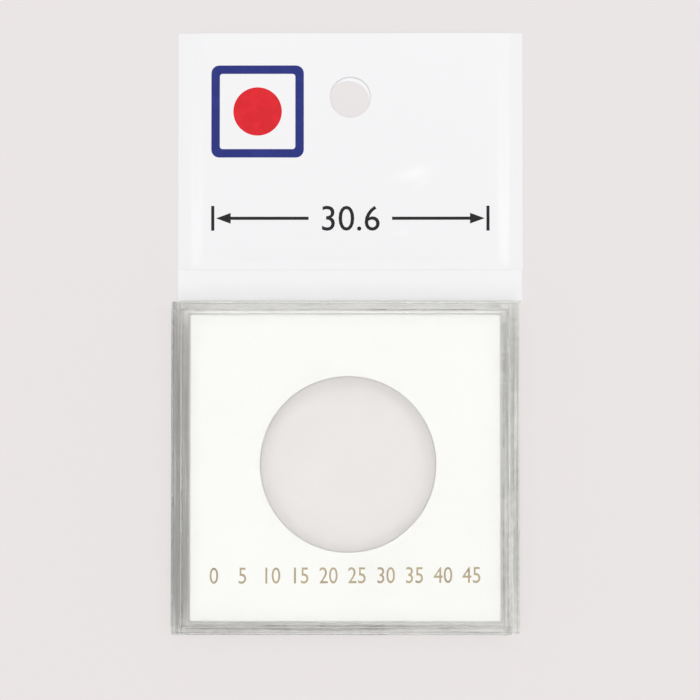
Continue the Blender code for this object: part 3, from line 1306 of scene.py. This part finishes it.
@dataclass
class CentrePlate:
    """The white plate between both halves, with its coin hole.

    Attributes:
        hole_middle: Middle of the coin hole.
        hole_radius: Radius of the coin hole.
        corner: Radius of the plate's corners.
        edge_radius: Rounding of its outer edges.
        hole_edge: Rounding of the hole's edges.
        flat_rim: Width of the flat strip beside each rounding, which keeps the faces flat.
        steps: Steps of each rounding.
        side_cuts: Lengths that each side is divided into.
        crease: Angle in degrees above which an edge stays sharp.
    """

    hole_middle: Flat = (0.48 * MM, 0.58 * MM)
    hole_radius: float = 15.35 * MM
    corner: float = 0.42 * MM
    edge_radius: float = 0.18 * MM
    hole_edge: float = 0.22 * MM
    flat_rim: float = 0.05 * MM
    steps: int = 4
    side_cuts: int = 44
    crease: float = 50.0

    def build(self) -> list[bpy.types.Object]:
        """Make the plate.

        Returns:
            Its one piece.
        """
        low, high = packed_box("coin_insert")
        half = high[:2]
        shape = Shape()
        rings = []
        for inset, height in self.rim(low[2], high[2]):
            outline = divided_box(inward(half, (inset, inset)), self.corner - inset, self.side_cuts)
            rings.append(shape.ring(outline, height))
        for radius, height in self.bore(low[2], high[2]):
            rings.append(shape.ring(self.round_points(half, radius), height))
        for first, second in zip(rings, rings[1:]):
            shape.bridge(second, first)
        shape.bridge(rings[0], rings[-1])
        finish = WhiteSheet("plate_white", high[2] / MM, in_mm(half))
        plate = shape.piece("centre_plate", finish, self.crease)
        return [dressed(plate, Body.INSERT, Slot.INSERT, "coin_insert")]

    def turns(self) -> list[float]:
        """Angles of a rounding's steps, from zero to a right angle."""
        return [math.pi / 2 * i / self.steps for i in range(self.steps + 1)]

    def rim(self, low: float, high: float) -> list[Flat]:
        """Section of the outer edge, from the underside to the face.

        Args:
            low: Height of the underside.
            high: Height of the face.

        Returns:
            (distance in from the edge, height) of each point.
        """
        r = self.edge_radius
        lower = [(r - r * math.sin(t), low + r - r * math.cos(t)) for t in self.turns()]
        upper = [(r - r * math.cos(t), high - r + r * math.sin(t)) for t in self.turns()]
        return [(r + self.flat_rim, low), *lower, *upper, (r + self.flat_rim, high)]

    def bore(self, low: float, high: float) -> list[Flat]:
        """Section of the hole's edge, from the face to the underside.

        Args:
            low: Height of the underside.
            high: Height of the face.

        Returns:
            (distance from the hole's middle, height) of each point.
        """
        r = self.hole_edge
        middle = self.hole_radius + r
        upper = [(middle - r * math.sin(t), high - r + r * math.cos(t)) for t in self.turns()]
        lower = [(middle - r * math.cos(t), low + r - r * math.sin(t)) for t in self.turns()]
        return [(middle + self.flat_rim, high), *upper, *lower, (middle + self.flat_rim, low)]

    def round_points(self, half: Flat, radius: float) -> list[Flat]:
        """Points round the hole, each in the direction of a point of the plate's outline.

        Args:
            half: Half the plate's width and height.
            radius: Radius of the hole here.

        Returns:
            As many points as the outline has.
        """
        middle = Vector(self.hole_middle)
        outline = divided_box(half, self.corner, self.side_cuts)
        return [tuple(middle + (Vector(point) - middle).normalized() * radius) for point in outline]


@dataclass
class Lettering:
    """Plain figures cut from Blender's own font as thin bodies.

    Attributes:
        height: Height of a figure.
        width_share: Its width, as a share of the font's.
        thickness: Thickness of the bodies.
        font_height: Height of a figure in a font of size one.
    """

    height: float
    width_share: float = 1.0
    thickness: float = 0.02 * MM
    font_height: float = 0.682

    def body(self, text: str) -> tuple[list[Spot], list[Face]]:
        """Figures centred on the origin.

        Args:
            text: The figures.

        Returns:
            Their points and faces.
        """
        tall = self.height / self.font_height
        wide = tall * self.width_share
        curve = bpy.data.curves.new("figures", "FONT")
        curve.body = text
        curve.size = 1.0
        curve.align_x = "CENTER"
        curve.resolution_u = 4
        curve.extrude = 0.5
        holder = bpy.data.objects.new("figures", curve)
        bpy.context.scene.collection.objects.link(holder)
        mesh = evaluated_mesh(holder)
        spots = [vertex.co for vertex in mesh.vertices]
        points = [(x * wide, (y - self.font_height / 2) * tall, z * self.thickness) for x, y, z in spots]
        faces = [tuple(polygon.vertices) for polygon in mesh.polygons]
        bpy.data.objects.remove(holder)
        bpy.data.curves.remove(curve)
        bpy.data.meshes.remove(mesh)
        return points, faces


@dataclass
class FoilScale:
    """A gold millimetre scale stamped along the foot of the centre plate.

    Attributes:
        middle: Middle of the row of figures.
        lean: Rise of the row per unit of its length.
        pitch: Distance between two figures.
        last: The last figure.
        step: What each figure adds to the one before.
        gap: Gap under the foil, which keeps it clear of the plate.
        figures: Size of the figures.
        crease: Angle in degrees above which an edge stays sharp.
    """

    middle: Flat = (-0.42 * MM, -18.75 * MM)
    lean: float = 0.0037
    pitch: float = 5.0 * MM
    last: int = 45
    step: int = 5
    gap: float = 0.004 * MM
    figures: Lettering = field(default_factory=lambda: Lettering(2.75 * MM, 0.84))
    crease: float = 30.0

    def build(self) -> list[bpy.types.Object]:
        """Make the scale.

        Returns:
            Its one piece.
        """
        _, high = packed_box("coin_insert")
        level = high[2] + self.figures.thickness / 2 + self.gap
        shape = Shape()
        numbers = range(0, self.last + 1, self.step)
        for place, number in enumerate(numbers):
            shift = (place - (len(numbers) - 1) / 2) * self.pitch
            across, up = self.middle[0] + shift, self.middle[1] + shift * self.lean
            points, faces = self.figures.body(str(number))
            shape.add([(x + across, y + x * self.lean + up, z + level) for x, y, z in points], faces)
        scale = shape.piece("foil_scale", GoldFoil("gold_foil"), self.crease)
        return [dressed(scale, Body.INSERT, None)]


@dataclass
class FilmCut:
    """A cut of film, made as a thin closed sheet with a round hole.

    Attributes:
        low: Its lower left corner.
        high: Its upper right corner.
        hole: Middle and radius of its hole.
        lift: Height of its middle at a place.
        thickness: Its thickness.
        right_edge: Its right edge at a height, or none where that is straight.
        fine_rows: First and last height of a stretch with closer grid lines, or none.
        cell: Distance between grid lines.
        fine_cell: Distance between the closer grid lines.
        hole_room: Cells between the hole and the grid.
        hole_rings: Rows of faces between the hole and the grid.
        crease: Angle in degrees above which an edge stays sharp.
    """

    low: Flat
    high: Flat
    hole: Spot
    lift: Lift
    thickness: float
    right_edge: Callable[[float], float] | None = None
    fine_rows: Flat | None = None
    cell: float = 0.8 * MM
    fine_cell: float = 0.25 * MM
    hole_room: float = 1.5
    hole_rings: int = 4
    crease: float = 60.0

    def rows(self) -> list[float]:
        """Heights of the grid lines, closer together across a fold.

        Returns:
            The heights, from the lowest.
        """
        rows = spread(self.low[1], self.high[1], self.cell)
        if self.fine_rows is not None:
            start, end = self.fine_rows
            rows = [y for y in rows if not start <= y <= end]
            rows += spread(start, end, self.fine_cell)
        return sorted(rows)

    def width_share(self, y: float) -> float:
        """Share of its full width that the film has at a height.

        Args:
            y: The height.

        Returns:
            The share.
        """
        if self.right_edge is None:
            return 1.0
        return (self.right_edge(y) - self.low[0]) / (self.high[0] - self.low[0])

    def piece(self, name: str, finish: Finish) -> bpy.types.Object:
        """Make the sheet.

        Args:
            name: Name of the piece.
            finish: Its finish, which reads the cut map.

        Returns:
            The object.
        """
        columns = spread(self.low[0], self.high[0], self.cell)
        rows = self.rows()
        hole_range = self.hole_range(columns, rows)
        first, last, lower, upper = hole_range
        flat: list[Flat] = []
        places: dict[tuple[int, int], int] = {}
        for j, y in enumerate(rows):
            share = self.width_share(y)
            for i, x in enumerate(columns):
                if not (first < i < last and lower < j < upper):
                    places[i, j] = len(flat)
                    flat.append((self.low[0] + (x - self.low[0]) * share, y))
        faces = [
            (places[i, j], places[i + 1, j], places[i + 1, j + 1], places[i, j + 1])
            for j in range(len(rows) - 1)
            for i in range(len(columns) - 1)
            if not (first <= i < last and lower <= j < upper)
        ]
        outer = [places[spot] for spot in self.walk(0, len(columns) - 1, 0, len(rows) - 1)]
        ring = [places[spot] for spot in self.walk(*hole_range)]
        borders = [outer, self.round_off(flat, faces, ring)[::-1]]
        shape = Shape()
        shape.slab(flat, faces, borders, lambda x, y: self.lift(x, y) - self.thickness / 2, self.thickness)
        made = shape.piece(name, finish, self.crease)
        layer = made.data.uv_layers.new(name=CUT_MAP)
        for loop in made.data.loops:
            layer.data[loop.index].uv = in_mm(made.data.vertices[loop.vertex_index].co)
        return made

    def hole_range(self, columns: Sequence[float], rows: Sequence[float]) -> tuple[int, int, int, int]:
        """Grid range that makes room for the hole.

        Args:
            columns: Grid lines along x.
            rows: Grid lines along y.

        Returns:
            First and last column and row.
        """
        x, y, radius = self.hole
        room = radius + self.hole_room * self.cell
        first = max(i for i, c in enumerate(columns) if c < x - room)
        last = min(i for i, c in enumerate(columns) if c > x + room)
        lower = max(j for j, r in enumerate(rows) if r < y - room)
        upper = min(j for j, r in enumerate(rows) if r > y + room)
        return first, last, lower, upper

    @staticmethod
    def walk(left: int, right: int, lower: int, upper: int) -> list[tuple[int, int]]:
        """Grid points round a range, anticlockwise.

        Args:
            left: First column.
            right: Last column.
            lower: First row.
            upper: Last row.

        Returns:
            (column, row) of each point.
        """
        spots = [(i, lower) for i in range(left, right)]
        spots += [(right, j) for j in range(lower, upper)]
        spots += [(i, upper) for i in range(right, left, -1)]
        spots += [(left, j) for j in range(upper, lower, -1)]
        return spots

    def round_off(self, flat: list[Flat], faces: list[Face], ring: list[int]) -> list[int]:
        """Fill between the hole's grid range and its round edge.

        Args:
            flat: Points so far, which grow.
            faces: Faces so far, which grow.
            ring: The range's border, anticlockwise.

        Returns:
            The round edge, anticlockwise.
        """
        middle, radius = Vector(self.hole[:2]), self.hole[2]
        outer = [Vector(flat[i]) for i in ring]
        inner = [middle + (spot - middle).normalized() * radius for spot in outer]
        before = ring
        for step in range(1, self.hole_rings + 1):
            now = list(range(len(flat), len(flat) + len(ring)))
            flat.extend(tuple(a.lerp(b, step / self.hole_rings)) for a, b in zip(outer, inner))
            for i in range(len(ring)):
                j = (i + 1) % len(ring)
                faces.append((before[i], before[j], now[j], now[i]))
            before = now
        return before


@dataclass(frozen=True)
class Wave:
    """A long soft wave in the film, in millimetres: its height and its reach per radian across and along."""

    height: float
    across: float
    along: float
    start: float = 0.0

    def rise(self, x: float, y: float) -> float:
        """Height of the wave at a place."""
        return self.height * (1 + math.sin(x / self.across + y / self.along + self.start))


@dataclass(frozen=True)
class Bulge:
    """An oval bulge in the film, in millimetres, with its reach along and across its direction."""

    middle: Flat
    height: float
    reach: Flat
    direction: Flat = (1.0, 0.0)

    def rise(self, x: float, y: float) -> float:
        """Height of the bulge at a place.

        Args:
            x: Place across the film.
            y: Place along it.

        Returns:
            The height.
        """
        dx, dy = x - self.middle[0], y - self.middle[1]
        along = (dx * self.direction[0] + dy * self.direction[1]) / self.reach[0]
        across = (dy * self.direction[0] - dx * self.direction[1]) / self.reach[1]
        return self.height * math.exp(-(along**2) - across**2)


@dataclass
class FilmHeader:
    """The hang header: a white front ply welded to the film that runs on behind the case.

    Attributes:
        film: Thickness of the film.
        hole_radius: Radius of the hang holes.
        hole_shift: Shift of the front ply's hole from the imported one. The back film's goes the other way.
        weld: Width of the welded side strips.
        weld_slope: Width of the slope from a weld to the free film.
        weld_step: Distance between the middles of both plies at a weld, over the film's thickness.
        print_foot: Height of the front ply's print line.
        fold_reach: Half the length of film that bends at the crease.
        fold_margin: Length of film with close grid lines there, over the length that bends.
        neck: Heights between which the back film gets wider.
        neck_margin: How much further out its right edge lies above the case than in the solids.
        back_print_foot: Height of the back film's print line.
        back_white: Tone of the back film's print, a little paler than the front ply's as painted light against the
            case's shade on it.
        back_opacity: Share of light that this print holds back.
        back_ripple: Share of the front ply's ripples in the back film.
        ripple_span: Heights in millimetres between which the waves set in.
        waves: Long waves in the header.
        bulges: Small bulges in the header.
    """

    film: float = 0.12 * MM
    hole_radius: float = 3.65 * MM
    hole_shift: Flat = (0.175 * MM, 0.375 * MM)
    weld: float = 2.3 * MM
    weld_slope: float = 2.0 * MM
    weld_step: float = 1.15
    print_foot: float = 34.0 * MM
    # fold_reach: Half the length of film about the crease.         fold_margin: Length of film with close grid lines there, over that half length.
    fold_reach: float = 1.5 * MM
    fold_margin: float = 1.3
    neck: Flat = (28.5 * MM, 29.5 * MM)
    neck_margin: float = 0.4 * MM
    back_print_foot: float = 29.4 * MM
    back_white: Colour = (0.955, 0.952, 0.965)
    back_opacity: float = 0.96
    back_ripple: float = 0.55
    ripple_span: Flat = (38.0, 48.0)
    waves: tuple[Wave, ...] = (Wave(0.07, 7.5, 15.0, 0.6), Wave(0.04, 3.9, -8.5))
    bulges: tuple[Bulge, ...] = (
        Bulge((11.5, 50.4), 0.34, (3.4, 1.5), (0.92, 0.38)),
        Bulge((9.6, 40.6), 0.16, (1.6, 0.9)),
    )

    def ripple(self, x: float, y: float) -> float:
        """Height of the soft ripples in the header.

        Args:
            x: Place across the header.
            y: Place along it.

        Returns:
            The height, never below zero.
        """
        u, v = x / MM, y / MM
        start, end = self.ripple_span
        fade = smooth((v - start) / (end - start))
        waves = sum(wave.rise(u, v) for wave in self.waves)
        return (waves * fade + sum(bulge.rise(u, v) for bulge in self.bulges)) * MM

    def back_lift(self, x: float, y: float) -> float:
        """Height of the back film's middle: flat behind the case, rippled in the header."""
        low, high = packed_box("header_back_film")
        return (low[2] + high[2]) / 2 + self.back_ripple * self.ripple(x, y)

    def front_lift(self, x: float, y: float) -> float:
        """Height of the front ply's middle, pressed down along its welded sides and its foot.

        Args:
            x: Place across the header.
            y: Place along it.

        Returns:
            The height.
        """
        low, high = packed_box("header_front_film")
        inside = min(x - low[0] - self.weld, high[0] - x - self.weld, y - low[1])
        welded = self.back_lift(x, y) + self.film * self.weld_step
        free = (low[2] + high[2]) / 2 + self.ripple(x, y)
        return welded + (free - welded) * smooth(inside / self.weld_slope)

    def hang_hole(self, hand: int) -> Spot:
        """Middle and radius of a hang hole, with hand 1 for the front ply and -1 for the back film."""
        x, y, _ = packed_place(frame["record"]["mounts"], "hang_hole")
        return x + hand * self.hole_shift[0], y + hand * self.hole_shift[1], self.hole_radius

    def neck_right(self) -> float:
        """Right edge of the back film above the case."""
        return packed_box("header_back_film")[1][0] + self.neck_margin

    def back_right(self, y: float) -> float:
        """Right edge of the back film, which is further in behind the case.

        Args:
            y: Place along the film.

        Returns:
            The edge's place.
        """
        behind = packed_box("backing_film")[1][0]
        share = smooth((y - self.neck[0]) / (self.neck[1] - self.neck[0]))
        return behind + (self.neck_right() - behind) * share

    def build(self) -> list[bpy.types.Object]:
        """Make the front ply and the back film."""
        return [self.front_ply(), self.back_film()]

    def front_ply(self) -> bpy.types.Object:
        """Make the white front ply.

        Returns:
            The ply.
        """
        low, high = packed_box("header_front_film")
        cut = FilmCut(low[:2], high[:2], self.hang_hole(1), self.front_lift, self.film)
        finish = PackFilm("front_ply_film", self.print_foot / MM, low[0] / MM, high[0] / MM, self.weld / MM)
        ply = cut.piece("header_front_ply", finish)
        dressed(ply, Body.HEADER, Slot.HEADER, "header_front_film")
        return ply

    def back_film(self) -> bpy.types.Object:
        """Make the film that is the header's back ply and runs on behind the case.

        Returns:
            The film.
        """
        low, _ = packed_box("backing_film")
        _, high = packed_box("header_back_film")
        wide = self.neck_right()
        _, fold_y, _ = packed_place(frame["joints"], "header_fold")
        fine_reach = self.fold_margin * self.fold_reach
        cut = FilmCut(
            low[:2],
            (wide, high[1]),
            self.hang_hole(-1),
            self.back_lift,
            self.film,
            self.back_right,
            fine_rows=(fold_y - fine_reach, fold_y + fine_reach),
        )
        finish = PackFilm(
            "back_film_film",
            self.back_print_foot / MM,
            low[0] / MM,
            high[0] / MM,
            weld=0.0,
            white=self.back_white,
            opacity=self.back_opacity,
        )
        film = cut.piece("back_film", finish)
        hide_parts("header_back_film", "backing_film")
        level = self.back_lift(0.0, fold_y)
        fold_y - self.fold_reach
        fold_y + self.fold_reach
        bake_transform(film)
        return film


@dataclass
class HeaderPrint:
    """Plain print on the front ply: a square-and-disc sign and a dimension line for the coin size.

    Attributes:
        header: The header that it is on.
        sign_middle: Middle of the sign.
        sign_half: Half the width of the sign's frame.
        sign_stroke: Width of the frame's stroke.
        sign_corners: Outer and inner corner radius of the frame.
        sign_cuts: Lengths that each side of the frame is divided into.
        corner_support: Distance of the extra points beside the frame's corners.
        disc_radius: Radius of the sign's disc.
        disc_pinhole: Radius of the tiny hole in its middle, which its faces need.
        disc_points: Points round the disc.
        line_y: Height of the dimension line.
        line_ends: Its left and right end.
        line_gap: Half the gap for its figures.
        stroke: Width of its strokes.
        arrow: Length and width of an arrow head.
        arrow_share: Share of the arrow head's length that the line leaves free.
        arrow_gap: Gap between an arrow head and its end stop.
        stop_height: Height of an end stop.
        bar_step: Length of a bar's cuts.
        ink: Thickness of the ink.
        ink_gap: Gap under the ink, which keeps it clear of the film.
        coin_size: Figures of the dimension line, the coin's diameter in millimetres.
        figures: Size of these figures.
        blue: Tone of the frame.
        red: Tone of the disc.
        black: Tone of the dimension line.
        crease: Angle in degrees above which an edge stays sharp.
    """

    header: FilmHeader
    sign_middle: Flat = (-15.6 * MM, 63.1 * MM)
    sign_half: float = 8.2 * MM
    sign_stroke: float = 1.5 * MM
    sign_corners: Flat = (1.4 * MM, 0.5 * MM)
    sign_cuts: int = 12
    corner_support: float = 0.5 * MM
    disc_radius: float = 4.3 * MM
    disc_pinhole: float = 0.02 * MM
    disc_points: int = 64
    line_y: float = 44.1 * MM
    line_ends: Flat = (-23.8 * MM, 25.5 * MM)
    line_gap: float = 7.4 * MM
    stroke: float = 0.55 * MM
    arrow: Flat = (2.6 * MM, 1.9 * MM)
    arrow_share: float = 0.9
    arrow_gap: float = 0.3 * MM
    stop_height: float = 4.4 * MM
    bar_step: float = 1.0 * MM
    ink: float = 0.012 * MM
    ink_gap: float = 0.004 * MM
    coin_size: str = "30.6"
    figures: Lettering = field(default_factory=lambda: Lettering(4.3 * MM, 1.0, 0.012 * MM))
    blue: Colour = (0.016, 0.026, 0.20)
    red: Colour = (0.72, 0.012, 0.022)
    black: Colour = (0.006, 0.006, 0.007)
    crease: float = 40.0

    def level(self, x: float, y: float) -> float:
        """Height of the ink's underside on the front ply."""
        return self.header.front_lift(x, y) + self.header.film / 2 + self.ink_gap

    def patch(self, shape: Shape, outer: Sequence[Flat], inner: Sequence[Flat], rings: int) -> None:
        """Add a thin patch of ink between two outlines.

        Args:
            shape: The shape it is added to.
            outer: Outer outline, anticlockwise.
            inner: Inner outline with as many points.
            rings: Rows of faces between them.
        """
        count = len(outer)
        last = rings * count
        pairs = [(Vector(a), Vector(b)) for a, b in zip(outer, inner)]
        flat = [tuple(a.lerp(b, ring / rings)) for ring in range(rings + 1) for a, b in pairs]
        faces = []
        for start in range(0, last, count):
            for i in range(count):
                a, b = start + i, start + (i + 1) % count
                faces.append((a, b, b + count, a + count))
        borders = [list(range(count)), list(range(last, last + count))[::-1]]
        shape.slab(flat, faces, borders, self.level, self.ink)

    def bar(self, shape: Shape, low: Flat, high: Flat) -> None:
        """Add a straight bar of ink between two corners, cut into short lengths.

        Args:
            shape: The shape it is added to.
            low: Lower left corner.
            high: Upper right corner.
        """
        flat = [(x, y) for x in spread(low[0], high[0], self.bar_step) for y in (low[1], high[1])]
        last = len(flat) - 1
        faces = [(k, k + 2, k + 3, k + 1) for k in range(0, last - 1, 2)]
        shape.slab(flat, faces, [[*range(0, last, 2), *range(last, 0, -2)]], self.level, self.ink)

    def wedge(self, shape: Shape, tip: Flat, toward: float) -> None:
        """Add an arrow head of ink.

        Args:
            shape: The shape it is added to.
            tip: Its point.
            toward: The side that its base is on, -1 or 1.
        """
        base = tip[0] + toward * self.arrow[0]
        half = toward * self.arrow[1] / 2
        corners = [tip, (base, tip[1] - half), (base, tip[1] + half)]
        shape.slab(corners, [(0, 1, 2)], [[0, 1, 2]], self.level, self.ink)

    def inked(self, shape: Shape, name: str, ink: str, tone: Colour) -> bpy.types.Object:
        """The named piece of a shape, in the named ink."""
        return dressed(shape.piece(name, FilmInk(ink, tone), self.crease), Body.HEADER, None)

    def build(self) -> list[bpy.types.Object]:
        """Make the sign's frame, its disc and the dimension line, one piece for each ink."""
        return [self.sign_frame(), self.sign_disc(), self.size_line()]

    def sign_frame(self) -> bpy.types.Object:
        """Make the sign's square frame.

        Returns:
            The frame.
        """
        shape = Shape()
        outlines = []
        for half, corner in zip((self.sign_half, self.sign_half - self.sign_stroke), self.sign_corners):
            outline = divided_box((half, half), corner, self.sign_cuts, self.corner_support)
            outlines.append(moved(outline, self.sign_middle))
        self.patch(shape, *outlines, rings=2)
        return self.inked(shape, "header_sign_frame", "ink_blue", self.blue)

    def sign_disc(self) -> bpy.types.Object:
        """Make the sign's disc.

        Returns:
            The disc.
        """
        shape = Shape()
        outer, inner = (
            moved(disc_outline(radius, self.disc_points), self.sign_middle)
            for radius in (self.disc_radius, self.disc_pinhole)
        )
        self.patch(shape, outer, inner, rings=6)
        return self.inked(shape, "header_sign_disc", "ink_red", self.red)

    def size_line(self) -> bpy.types.Object:
        """Make the dimension line with its figures.

        Returns:
            The line.
        """
        shape = Shape()
        left, right = self.line_ends
        middle, y = (left + right) / 2, self.line_y
        for end, toward in ((left, 1.0), (right, -1.0)):
            tip = end + toward * (self.stroke + self.arrow_gap)
            foot = tip + toward * self.arrow[0] * self.arrow_share
            line = sorted((foot, middle - toward * self.line_gap))
            stop = sorted((end, end + toward * self.stroke))
            self.bar(shape, (line[0], y - self.stroke / 2), (line[1], y + self.stroke / 2))
            self.wedge(shape, (tip, y), toward)
            self.bar(shape, (stop[0], y - self.stop_height / 2), (stop[1], y + self.stop_height / 2))
        points, faces = self.figures.body(self.coin_size)
        placed = [(across + middle, up + y, out + self.ink / 2) for across, up, out in points]
        shape.add([(across, up, self.level(across, up) + out) for across, up, out in placed], faces)
        return self.inked(shape, "header_size_line", "ink_black", self.black)


@dataclass
class BondStrips:
    """The two adhesive strips that hold the film to the back of the case."""

    nodes: tuple[str, ...] = ("upper_adhesive_strip", "lower_adhesive_strip")

    def build(self) -> list[bpy.types.Object]:
        """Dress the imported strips.

        Returns:
            Both strips.
        """
        material = TackyBond("adhesive_clear").material()
        strips = [frame["nodes"][name] for name in self.nodes]
        for strip in strips:
            strip.data.materials.clear()
            strip.data.materials.append(material)
        return strips


@dataclass(frozen=True)
class SoftLamp:
    """A round soft lamp that looks at the case."""

    name: str
    place: Spot
    watts: float
    size: float = 0.44

    def build(self) -> None:
        """Hang the lamp."""
        data = bpy.data.lights.new(self.name, "AREA")
        data.shape = "DISK"
        data.size = self.size
        data.energy = self.watts
        lamp = bpy.data.objects.new(self.name, data)
        lamp.location = self.place
        lamp.rotation_mode = "QUATERNION"
        lamp.rotation_quaternion = (-Vector(self.place)).to_track_quat("-Z", "Y")
        bpy.context.scene.collection.objects.link(lamp)


@dataclass
class Studio:
    """Pale paper, an even sky and four soft lamps round the case.

    Attributes:
        paper_half: Half the width of the paper.
        paper_level: Its height, just under the film.
        sky: Tone of the sky.
        fill: Strength of the sky as a light.
        lamps: The lamps.
    """

    paper_half: float = 4.0
    paper_level: float = -0.03 * MM
    sky: Colour = (0.95, 0.94, 0.94)
    fill: float = 0.44
    lamps: tuple[SoftLamp, ...] = (
        SoftLamp("lamp_right", (0.45, 0.04, 1.15), 2.3),
        SoftLamp("lamp_top", (0.04, 0.54, 1.15), 2.6),
        SoftLamp("lamp_bottom", (0.00, -0.45, 1.15), 2.3),
        SoftLamp("lamp_left", (-0.45, 0.00, 1.15), 2.0),
    )

    def build(self) -> None:
        """Lay the paper and light it."""
        half = self.paper_half
        shape = Shape()
        corners = shape.ring([(-half, -half), (half, -half), (half, half), (-half, half)], self.paper_level)
        shape.faces.append(tuple(corners))
        shape.piece("paper", StudioPaper("studio_paper"))
        world = bpy.data.worlds.new("sky")
        bpy.context.scene.world = world
        graph = Graph(world)
        strength = graph.seen_straight().span(self.fill, 1.0)
        background = graph.node("ShaderNodeBackground", sockets={"Color": self.sky, "Strength": strength})
        graph.node("ShaderNodeOutputWorld", sockets={"Surface": graph.out(background)})
        for lamp in self.lamps:
            lamp.build()
        bpy.context.scene.view_settings.view_transform = "Standard"


@dataclass
class PhotoCamera:
    """A camera that looks almost straight down, as the photograph's does.

    Attributes:
        aim: The point in the middle of its view.
        distance: Distance from that point.
        tilt: Degrees that it leans towards the case's lower edge.
        pan: Degrees that it leans to the right.
        lens: Focal length in millimetres.
        sensor: Width of the sensor in millimetres.
        clip: Nearest and furthest distance that it sees.
    """

    aim: Spot = (0.85 * MM, 20.53 * MM, 6.9 * MM)
    distance: float = 450 * MM
    tilt: float = 2.0
    pan: float = 0.5
    lens: float = 132.7
    sensor: float = 36.0
    clip: Flat = (0.01, 50.0)

    def build(self) -> None:
        """Make the camera and give it to the scene."""
        data = bpy.data.cameras.new("photo")
        data.lens = self.lens
        data.sensor_width = self.sensor
        data.sensor_fit = "AUTO"
        data.clip_start, data.clip_end = self.clip
        camera = bpy.data.objects.new("photo", data)
        tilt, pan = math.radians(self.tilt), math.radians(self.pan)
        back = Vector((math.sin(pan), -math.sin(tilt), math.cos(tilt))).normalized()
        camera.location = Vector(self.aim) + back * self.distance
        right = Vector((0.0, 1.0, 0.0)).cross(back).normalized()
        camera.rotation_mode = "QUATERNION"
        camera.rotation_quaternion = Matrix((right, back.cross(right), back)).transposed().to_quaternion()
        bpy.context.scene.collection.objects.link(camera)
        bpy.context.scene.camera = camera


def main() -> None:
    """Build the pieces in order and log each, then the studio and the camera."""
    logging.basicConfig(level=logging.INFO, format="%(name)s: %(message)s")
    header = FilmHeader()
    parts = (BondStrips(), TrayShell(), CentrePlate(), FoilScale(), CoverShell(), header, HeaderPrint(header))
    for part in parts:
        for piece in part.build():
            log.info("%s: %s, %d faces", type(part).__name__, piece.name, len(piece.data.polygons))
    Studio().build()
    PhotoCamera().build()


if __name__ == "__main__":
    main()
